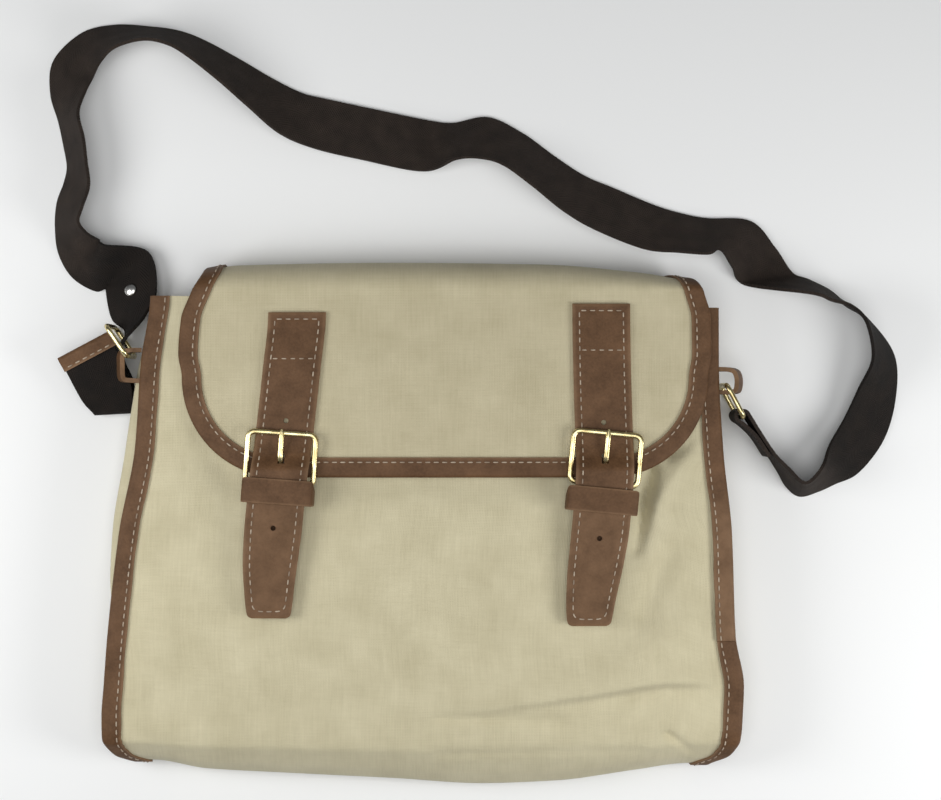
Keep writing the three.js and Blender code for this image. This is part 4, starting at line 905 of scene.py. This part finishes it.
def metal_finish(name, bright, dull, roughness):
    """Metal whose colour and polish change a little in soft patches, with fine scratches as bump."""
    material, tree, shader = new_material(name)
    place = add_node(tree, "ShaderNodeTexCoord").outputs["Object"]
    patches = noise(tree, place, scale=140.0, detail=4.0)
    colours = colour_ramp(tree, patches, dark_at=0.35, dark=dull, light_at=0.62, light=bright)
    tree.links.new(colours.outputs["Color"], shader.inputs["Base Color"])
    range_of = {"Value": patches, "To Min": roughness + 0.12, "To Max": roughness - 0.06}
    polish = add_node(tree, "ShaderNodeMapRange", range_of)
    tree.links.new(polish.outputs["Result"], shader.inputs["Roughness"])
    roughen(tree, shader, noise(tree, place, scale=1600.0, detail=2.0), strength=0.08, distance=0.0002)
    shader.inputs["Metallic"].default_value = 1
    return material


worn_brass = metal_finish("worn_brass", (0.87, 0.76, 0.42), (0.5, 0.4, 0.19), 0.24)


def round_box(width, height, corner, arc=8, run=5):
    """Closed path round a rectangle with round corners, and the way out of it at each point."""
    places, outs = [], []
    for quarter, (side_x, side_y) in enumerate(((1, 1), (-1, 1), (-1, -1), (1, -1))):
        turn = np.radians(np.linspace(90 * quarter, 90 * quarter + 90, arc))
        out = np.stack([np.cos(turn), np.sin(turn)], axis=-1)
        middle = np.array((side_x * (width / 2 - corner), side_y * (height / 2 - corner)))
        places.append(middle + corner * out)
        outs.append(out)
    share = np.linspace(0, 1, run + 2)[1:-1, None]
    path, way = [], []
    for k in range(4):
        begin, end = places[k][-1], places[(k + 1) % 4][0]
        path += [places[k], begin + (end - begin) * share]
        way += [outs[k], np.tile(outs[k][-1], (run, 1))]
    return np.concatenate(path), np.concatenate(way)


def oval(half_wide, half_tall, sides, power=2.0):
    """Section of sides points whose two half widths, each to the power, add up to one."""
    turn = np.arange(sides) * 2 * np.pi / sides
    c, s = np.cos(turn), np.sin(turn)
    wide = half_wide * np.sign(c) * np.abs(c) ** (2 / power)
    tall = half_tall * np.sign(s) * np.abs(s) ** (2 / power)
    return np.stack([wide, tall], axis=-1)


def loop_solid(path, side, up, section):
    """A section carried along a closed path: its first column along side, its second along up."""
    points = path[:, None] + section[None, :, :1] * side[:, None] + section[None, :, 1:] * up[:, None]
    count, around = points.shape[:2]
    at = np.arange(count * around).reshape(count, around)
    ahead, over = np.roll(at, -1, axis=0), np.roll(at, -1, axis=1)
    both = np.roll(ahead, -1, axis=1)
    return points.reshape(-1, 3), np.stack([at, ahead, both, over], axis=-1).reshape(-1, 4)


def tube_solid(rings):
    """A solid through rings of an even number of points, with each end closed by a strip of faces."""
    count, around = rings.shape[:2]
    at = np.arange(count * around).reshape(count, around)
    over = np.roll(at, -1, axis=1)
    wall = np.stack([at[:-1], at[1:], over[1:], over[:-1]], axis=-1).reshape(-1, 4)
    k = np.arange(around // 2 - 1)
    strip = np.stack([k, k + 1, around - 2 - k, around - 1 - k], axis=-1)
    return rings.reshape(-1, 3), np.concatenate([wall, strip, strip[:, ::-1] + at[-1, 0]])


def buckle_place(closure):
    """Turns points of a buckle's own frame, with Y along the strap and Z out of the front, into the bag's."""
    centre = table_curve(closure, "y", "x")
    reach = BUCKLE_SLOPE_REACH
    x = float(centre(BUCKLE_Y))

    def near(dx, dy):
        return stack(x + dx, BUCKLE_Y + dy, lay_height(x + dx, BUCKLE_Y + dy))

    swing = reach * np.tan(np.radians(closure["turn"]))
    along = unit(near(swing, reach) - near(-swing, -reach))
    out = unit(np.cross(near(reach, 0) - near(-reach, 0), along))
    axes = np.stack([np.cross(along, out), along, out])
    return lambda local: near(0, 0) + local @ axes


def buckle_lift(y):
    """Height of the buckle's plane above the front, sloping from its lower bar to its top bar."""
    return BUCKLE_BAR_LIFT + (BUCKLE_TOP_LIFT - BUCKLE_BAR_LIFT) * (y / BUCKLE_HEIGHT + 0.5)


def prong_rings():
    """Oval sections along the tongue, from its tip on the top bar down under the strap and round the bar."""
    eye = BUCKLE_WIRE + PRONG_CLEAR + PRONG_HALF_THICK
    rest = BUCKLE_TOP_LIFT + BUCKLE_WIRE + PRONG_CLEAR + PRONG_HALF_THICK
    share = np.linspace(1, 0.15, 24)
    tip_y = BUCKLE_HEIGHT / 2 + PRONG_PAST_BAR
    tongue_y = bar_y + (tip_y - bar_y) * share
    tongue_z = BUCKLE_BAR_LIFT + eye + (rest - BUCKLE_BAR_LIFT - eye) * share
    dip = PRONG_DIP * np.exp(-(((tongue_y - PRONG_DIP_Y) / PRONG_DIP_WIDE) ** 2))
    tongue = np.stack([tongue_y, tongue_z - dip], axis=-1)
    turn = np.radians(np.linspace(75, -215, 30))
    bend = np.stack([bar_y + eye * np.cos(turn), BUCKLE_BAR_LIFT + eye * np.sin(turn)], axis=-1)
    path = np.concatenate([tongue, bend])
    along = unit(np.gradient(path, axis=0))
    size = np.concatenate([np.sqrt(np.linspace(0.12, 1, 5)), np.ones(len(path) - 5)])
    section = oval(PRONG_HALF_WIDTH, PRONG_HALF_THICK, 12, 2.6)[None] * size[:, None, None]
    x = section[..., 0]
    y = path[:, None, 0] - section[..., 1] * along[:, None, 1]
    z = path[:, None, 1] + section[..., 1] * along[:, None, 0]
    return stack(x, y, z)


for side, closure in CLOSURES.items():
    place = buckle_place(closure)
    path, way = round_box(BUCKLE_WIDTH, BUCKLE_HEIGHT, BUCKLE_CORNER)
    line = np.column_stack([path, buckle_lift(path[:, 1])])
    outward = np.column_stack([way, np.zeros(len(way))])
    upward = np.tile((0, 0, 1.0), (len(way), 1))
    points, faces = loop_solid(line, outward, upward, oval(BUCKLE_WIRE, BUCKLE_WIRE, 16, 3))
    add_piece(f"buckle_brass_{side}", place(points), faces, worn_brass, [f"buckle_{side}"])
    points, faces = tube_solid(prong_rings())
    add_piece(f"prong_brass_{side}", place(points), faces, worn_brass, [f"prong_{side}"])

# Keepers and anchors
# Below each buckle a flat leather loop, the keeper, holds the tongue down; it leans over the buckle's
# lower bar. The anchor under it is a leather loop that holds the bar and is sewn to the front.
KEEPER_WIDTH, KEEPER_FLOOR, KEEPER_CEILING, KEEPER_WALL = 38.4, 1.9, 13.8, 1.6
KEEPER_HEIGHT, KEEPER_LEAN, KEEPER_CORNER = 14, 0.45, 2.2

for side, closure in CLOSURES.items():
    place = buckle_place(closure)
    tall = KEEPER_CEILING - KEEPER_FLOOR + KEEPER_WALL
    path, way = round_box(KEEPER_WIDTH + KEEPER_WALL, tall, KEEPER_CORNER, run=12)
    middle = (KEEPER_FLOOR + KEEPER_CEILING) / 2
    level = np.full(len(path), closure["keeper"] - KEEPER_HEIGHT / 2)
    line = np.column_stack([path[:, 0], level, middle + path[:, 1]])
    outward = np.column_stack([way[:, 0], np.zeros(len(way)), way[:, 1]])
    across = np.tile((0, 1.0, 0), (len(way), 1))
    section = oval(KEEPER_WALL / 2, KEEPER_HEIGHT / 2, 40, 7)
    points, faces = loop_solid(line, outward, across, section)
    wear_and_shade = np.tile(smooth_step(np.abs(section[:, 1]) / KEEPER_HEIGHT * 2, 0.8, 1), len(path))
    upper = (points[:, 1] - closure["keeper"]) / KEEPER_HEIGHT + 1
    points[:, 1] += KEEPER_LEAN * (KEEPER_CEILING + upper * (points[:, 2] - KEEPER_CEILING))
    add_piece(f"keeper_leather_{side}", place(points), faces, brown_leather,
              [f"keeper_{side}"], wear_and_shade=wear_and_shade)
    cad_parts[f"anchor_{side}"].material_slots[0].material = brown_leather

# Side rings and tabs
# At each side seam a leather tab is folded round one bar of a rectangular brass ring and sewn between the
# side panel's layers. The ring stands on edge, and the webbing goes round its outer bar.
RING_WIDTH, RING_TALL, RING_CORNER, RING_WIRE = 21, 38.5, 4, 1.5
TAB_WALL, TAB_LOW, TAB_TALL, TAB_LEAN = 2.6, 20, 12.6, 0.3
TAB_ROWS, TAB_COLUMNS, TAB_WORN = 65, 14, 0.2
# Where each ring's inner bar stands, the way it points, and the line of its tab's fold from above
RINGS = {
    "left": {
        "x": -173.8, "y": 103.9, "turn": 124,
        "tab": [(-167.6, 108.6), (-173, 108.6), (-178, 107.8), (-180.1, 104.6), (-180.2, 98),
                (-179.9, 91.6), (-178, 88.8), (-173, 88.2), (-168.6, 88)],
    },
    "right": {
        "x": 177.2, "y": 86.6, "turn": -62,
        "tab": [(172.1, 81.4), (179, 81.2), (184.6, 82), (186.4, 85), (186.6, 91), (184.6, 95.6),
                (180, 97.2), (172.1, 97.4)],
    },
}

for side, ring in RINGS.items():
    turn = np.radians(ring["turn"])
    outward_way = np.array((np.cos(turn), np.sin(turn), 0))
    upright = np.array((0, 0, 1.0))
    centre = np.array((ring["x"], ring["y"], RING_TALL / 2 + RING_WIRE + SEAT)) + outward_way * RING_WIDTH / 2
    path, way = round_box(RING_WIDTH, RING_TALL, RING_CORNER)
    line = centre + path[:, :1] * outward_way + path[:, 1:] * upright
    outward = way[:, :1] * outward_way + way[:, 1:] * upright
    flat = np.tile(np.cross(outward_way, upright), (len(way), 1))
    points, faces = loop_solid(line, outward, flat, oval(RING_WIRE, RING_WIRE, 16))
    add_piece(f"ring_brass_{side}", points, faces, worn_brass, [f"ring_{side}"])

    fold = smooth_line([ring["tab"]], TAB_ROWS)[0]
    height = TAB_TALL * np.linspace(0, 1, TAB_COLUMNS)
    lean = np.sign(ring["x"]) * TAB_LEAN * (TAB_TALL / 2 - height)
    grid = stack(fold[:, None, 0] + lean, fold[:, None, 1], TAB_LOW + height)
    points, faces = closed_sheet(grid, TAB_WALL)
    wear_and_shade = np.tile(edge_wear(TAB_WORN, TAB_COLUMNS), (2 * len(fold), 1)).ravel()
    add_piece(f"tab_leather_{side}", points, faces, brown_leather, [f"side_tab_{side}"], wear_and_shade=wear_and_shade)

# Shoulder strap
# One length of dark brown cotton webbing, woven in a fine twill. It is laid on the table in a loose loop,
# half on edge where it turns, goes round both side rings, and doubles back at the left to a capped end.
STRAP_WIDTH, WEBBING = 32, 2
# Middle line of the webbing on the table, lean of its width from flat, and lift off the table
STRAP_ROUTE = np.array([
    (202.8, 45, 90, 2.2), (195.2, 56.4, 90, 3.2), (188, 63.4, 90, 3.6), (183.8, 66.4, 90, 3.6),
    (183, 69.6, 90, 3.6), (185.4, 71.6, 90, 3.6), (188.8, 71.4, 90, 3.6), (191, 68.6, 90, 3.6),
    (197.6, 58, 90, 2.6), (206, 45.4, 89, 1), (213.5, 36, 84, 0.3), (219, 28.6, 80, 0.3),
    (225, 25.2, 76, 0.3), (233, 28.6, 70, 0.3), (240.5, 34.4, 60, 0.3), (250, 43.4, 37, 0.3),
    (262, 60.8, 29, 0.3), (269.4, 82, 39, 0.3), (272.4, 103.6, 60, 0.3), (262.5, 125, 80, 0.3),
    (252, 134, 86, 0.3), (241, 140, 77, 0.3), (229.5, 145, 74, 0.3), (205.7, 150.7, 8, 0.3),
    (196.5, 162.8, 20, 0.3), (185.5, 175.6, 34, 0.3), (168, 175.4, 47, 0.3), (152, 177.4, 42, 0.3),
    (134, 181, 32, 0.3), (107, 192, 30, 0.3), (89, 201, 38, 0.3), (71, 214, 44, 0.3), (53, 227, 44, 0.3),
    (36, 234, 38, 0.3), (18, 232, 44, 0.3), (0, 230, 16, 0.3), (-35, 237, 12, 0.3), (-62, 243, 16, 0.3),
    (-80, 249, 30, 0.3), (-98, 261, 46, 0.3), (-116, 274, 56, 0.3), (-135, 286.4, 64, 0.3),
    (-149, 293, 69, 0.3), (-165, 295.6, 70, 0.3), (-184, 294, 59, 0.3), (-198.6, 287.6, 43, 0.3),
    (-209.6, 275, 32, 0.3), (-212.2, 261, 43, 0.3), (-211.4, 246, 61, 0.3), (-208.2, 231, 61, 0.3),
    (-206.4, 218, 62, 0.3), (-206.8, 206, 55, 0.3), (-210.8, 194, 54, 0.3), (-212.4, 182.4, 58, 0.3),
    (-209, 171, 46, 0.3), (-201.6, 162, 30, 0.3), (-193, 156.6, 34, 0.4), (-177.3, 156, 8, 3),
    (-175, 143.4, 16, 3.4),
])
# Rows at creases: how far the width is turned from square to the path, and half the width
STRAP_CREASES = {23: (-44, 15.3), 24: (-14, 15.6), 25: (-23, 16), 57: (-8, 16.2)}
# Through the left ring to the end: the middle, the way and the slope of the width, and half the width
STRAP_TAIL = np.array([
    (-176.4, 127.5, 10.5, 3, 36, 13.2), (-176.4, 119.4, 12, -16, 70, 9), (-179.4, 112.8, 12, -40, 84, 7),
    (-184.6, 107.2, 8.6, -18, 52, 8), (-188.4, 99, 4, 0, 14, 10), (-188.4, 89, 1.7, 4, 1, 13.5),
    (-186.8, 78, 1.5, 5, 0, 13.5), (-186, 72.8, 3, 3, 0, 11.5), (-185.8, 70.4, 6.6, 3, 0, 11),
    (-186.3, 72.8, 10.4, 7, 0, 12), (-189, 82.5, 15, 18, 0, 15.2), (-196.2, 99, 19.4, 28, 0, 16),
    (-201, 109, 22, 28, 0, 16),
])
STRAP_STEPS, STRAP_COLUMNS = 10, 13
MITRE_LEAST = 0.7
RIVET_ROW = len(STRAP_ROUTE) - 1
# The twill's slant turns back at this width, and its waves are in radians to a metre
TWILL_TURN_M, TWILL_WAVES = 0.0058, 3900.0
# Stretches, by the length walked, where the webbing is painted darker as shade: the loop at the right, where
# it stands on edge turned away from the lamps, and the end at the left
PAINTED_SHADE_STRETCHES = {
    "walk": [0, 112, 126, 228, 246, 872, 886, 1100],
    "dark": [0, 0, 0.36, 0.36, 0, 0, 0.36, 0.36],
}


def webbing_finish(name, light, dark, deep_shade):
    """Twill: a wave along a slant that turns back at the middle of the width, with fine dusty patches,
    and darker by painted shade from a point attribute where the webbing lies in shadow."""
    material, tree, shader = new_material(name)
    cloth = add_node(tree, "ShaderNodeUVMap", uv_map="cloth").outputs["UV"]
    parts = add_node(tree, "ShaderNodeSeparateXYZ", {"Vector": cloth})
    fold = combine(tree, "PINGPONG", parts.outputs["X"], TWILL_TURN_M)
    slant = combine(tree, "ADD", fold, parts.outputs["Y"])
    twill = combine(tree, "SINE", combine(tree, "MULTIPLY", slant, TWILL_WAVES))
    patches = noise(tree, cloth, scale=90.0, detail=6.0)
    fuzz = noise(tree, cloth, scale=2400.0, detail=2.0)
    tone = blend(tree, 0.4, patches, fuzz)
    # Painted shade: this share lowers the tone towards the deepest colour where the webbing lies in shadow
    shade_share = add_node(tree, "ShaderNodeAttribute", attribute_name="wear_and_shade").outputs["Fac"]
    shown = combine(tree, "SUBTRACT", tone, shade_share)
    colours = colour_ramp(tree, shown, dark_at=0.3, dark=dark, light_at=0.7, light=light)
    # The first stop's colour is painted shade for the darkest stretches
    colours.color_ramp.elements.new(0).color = (*deep_shade, 1)
    tree.links.new(colours.outputs["Color"], shader.inputs["Base Color"])
    roughen(tree, shader, combine(tree, "ADD", twill, fuzz), strength=0.5, distance=0.0003)
    shader.inputs["Roughness"].default_value = 0.9
    shader.inputs["Specular IOR Level"].default_value = 0.25
    return material


def strap_rows():
    """Middle and half width of each row: square to the path on the table, leaned over and mitred at the
    corners, and as the tail's table gives them from the left ring on."""
    x, y, lean, lift = STRAP_ROUTE.T
    lean = np.radians(lean)
    flat = np.concatenate([STRAP_ROUTE[:, :2], STRAP_TAIL[:1, :2]])
    after = unit(np.diff(flat, axis=0))
    before = np.concatenate([after[:1], after[:-1]])
    way = unit(before + after)
    reach = STRAP_WIDTH / 2 / np.maximum(np.sum(way * after, axis=-1), MITRE_LEAST)
    turn = np.zeros(len(x))
    creased = list(STRAP_CREASES)
    crease_turn, crease_half = np.array(list(STRAP_CREASES.values())).T
    turn[creased], reach[creased] = np.radians(crease_turn), crease_half
    way = np.stack([way[:, 0] * np.cos(turn) - way[:, 1] * np.sin(turn),
                    way[:, 0] * np.sin(turn) + way[:, 1] * np.cos(turn)], axis=-1)
    wide = reach * np.cos(lean)
    rise = STRAP_WIDTH / 2 * np.sin(lean)
    route_middle = stack(x, y, lift + rise + WEBBING / 2 * np.cos(lean))
    route_half = stack(-way[:, 1] * wide, way[:, 0] * wide, rise)
    x, y, z, angle, slope, half = STRAP_TAIL.T
    angle, slope = np.radians(angle), np.radians(slope)
    level = half * np.cos(slope)
    tail_half = stack(level * np.cos(angle), level * np.sin(angle), half * np.sin(slope))
    return np.concatenate([route_middle, stack(x, y, z)]), np.concatenate([route_half, tail_half])


dark_webbing = webbing_finish(
    "dark_webbing", light=(0.037, 0.0265, 0.0205), dark=(0.016, 0.0115, 0.009), deep_shade=(0.008, 0.0066, 0.0056))
row_middle, row_half = strap_rows()
smooth_count = STRAP_STEPS * (len(row_middle) - 1) + 1
strap_middle, strap_half = smooth_line(np.stack([row_middle, row_half]), smooth_count)
strap_share = np.linspace(-1, 1, STRAP_COLUMNS)
strap_grid = strap_middle[:, None] + strap_half[:, None] * strap_share[None, :, None]
strap_face = unit(np.cross(np.gradient(strap_grid, axis=0), np.gradient(strap_grid, axis=1)))
points, faces = closed_sheet(strap_grid + strap_face * WEBBING / 2, WEBBING)
strap_walk = path_lengths(strap_middle[:, None])[:, 0, 1]
strap_cloth = np.stack(np.broadcast_arrays(strap_share[None] * STRAP_WIDTH / 2, strap_walk[:, None]), axis=-1)
# Painted shade along the strap, by the length walked, passed to the finish as the point attribute
painted_shade_share = np.interp(strap_walk, PAINTED_SHADE_STRETCHES["walk"], PAINTED_SHADE_STRETCHES["dark"])
strap_shade = np.tile(np.repeat(painted_shade_share, STRAP_COLUMNS), 2)
add_piece("strap_webbing", points, faces, dark_webbing, ["shoulder_strap"],
          cloth=np.tile(strap_cloth.reshape(-1, 2), (2, 1)), wear_and_shade=strap_shade)

# Strap end cap
# A strip of brown leather is folded over the cut end of the webbing, and sewn through with one line of
# cream thread.
CAP_WIDTH, CAP_DEPTH, CAP_SLOT, CAP_WALL, CAP_INSIDE = 33.8, 9, 2.6, 1.2, 7.4
CAP_STITCH_IN, CAP_STITCH_SHARE = 1.8, 0.88
CAP_COLUMNS, CAP_WORN = 30, 0.2

cap_thick = CAP_SLOT / 2 + CAP_WALL
cap_turn = np.radians(np.linspace(90, -90, 15))
cap_leg = np.linspace(0, CAP_DEPTH - cap_thick, 9)[:-1]
cap_fold = np.concatenate([
    np.stack([cap_leg, np.full(len(cap_leg), cap_thick)], axis=-1),
    np.stack([CAP_DEPTH - cap_thick + cap_thick * np.cos(cap_turn), cap_thick * np.sin(cap_turn)], axis=-1),
    np.stack([cap_leg[::-1], np.full(len(cap_leg), -cap_thick)], axis=-1),
])
cap_across = unit(row_half[-1])
cap_up = unit(np.cross(cap_across, row_middle[-1] - row_middle[-2]))
cap_out = np.cross(cap_up, cap_across)
cap_origin = row_middle[-1] + cap_out * (SEAT - CAP_INSIDE)
cap_share = np.linspace(-0.5, 0.5, CAP_COLUMNS) * CAP_WIDTH
cap_shell = cap_origin + cap_fold[:, None, :1] * cap_out + cap_fold[:, None, 1:] * cap_up
cap_grid = cap_shell + cap_share[None, :, None] * cap_across
points, faces = closed_sheet(cap_grid[:, ::-1], CAP_WALL)
cap_wear = np.tile(edge_wear(CAP_WORN, len(cap_fold))[:, None], (2, CAP_COLUMNS)).ravel()
add_piece("strap_end_leather", points, faces, brown_leather, ["strap_end_cap"], wear_and_shade=cap_wear)
cap_line = cap_origin + cap_out * CAP_STITCH_IN + cap_up * cap_thick
cap_line = cap_line + cap_share[:, None] * CAP_STITCH_SHARE * cap_across
add_stitches("strap_end_stitches", [(cap_line, np.tile(cap_up, (CAP_COLUMNS, 1)))])

# Rivet
# A nickel rivet with a polished, domed head goes through the webbing above the left ring. Only the
# head is made, because what holds it behind the webbing is out of sight.
RIVET_RADIUS, RIVET_HIGH, RIVET_SEAT = 3.8, 1.8, 0.3
RIVET_RIM, RIVET_BEVEL, RIVET_CENTRE = 0.2, 0.3, 0.1
RIVET_RINGS, RIVET_SIDES, RIVET_DOME_DEG = 12, 28, 88

nickel = metal_finish("nickel", (0.82, 0.81, 0.78), (0.55, 0.54, 0.52), 0.22)
rivet_along = row_middle[RIVET_ROW + 1] - row_middle[RIVET_ROW - 1]
rivet_up = unit(np.cross(rivet_along, row_half[RIVET_ROW]))
rivet_up = rivet_up * np.sign(rivet_up[2])
rivet_side = unit(row_half[RIVET_ROW])
rivet_ahead = np.cross(rivet_side, rivet_up)
dome = np.radians(np.linspace(0, RIVET_DOME_DEG, RIVET_RINGS))
radius = np.concatenate([[RIVET_CENTRE, RIVET_RADIUS - RIVET_BEVEL], RIVET_RADIUS * np.cos(dome)])
high = np.concatenate([[0, 0], RIVET_RIM + (RIVET_HIGH - RIVET_RIM) * np.sin(dome)])
round_turn = np.arange(RIVET_SIDES)[:, None] * 2 * np.pi / RIVET_SIDES
rivet_round = np.cos(round_turn) * rivet_side + np.sin(round_turn) * rivet_ahead
rivet_rings = row_middle[RIVET_ROW] + rivet_up * (WEBBING / 2 + RIVET_SEAT + high[:, None, None])
rivet_rings = rivet_rings + radius[:, None, None] * rivet_round
points, faces = tube_solid(rivet_rings)
add_piece("rivet_nickel", points, faces, nickel, ["rivet"])
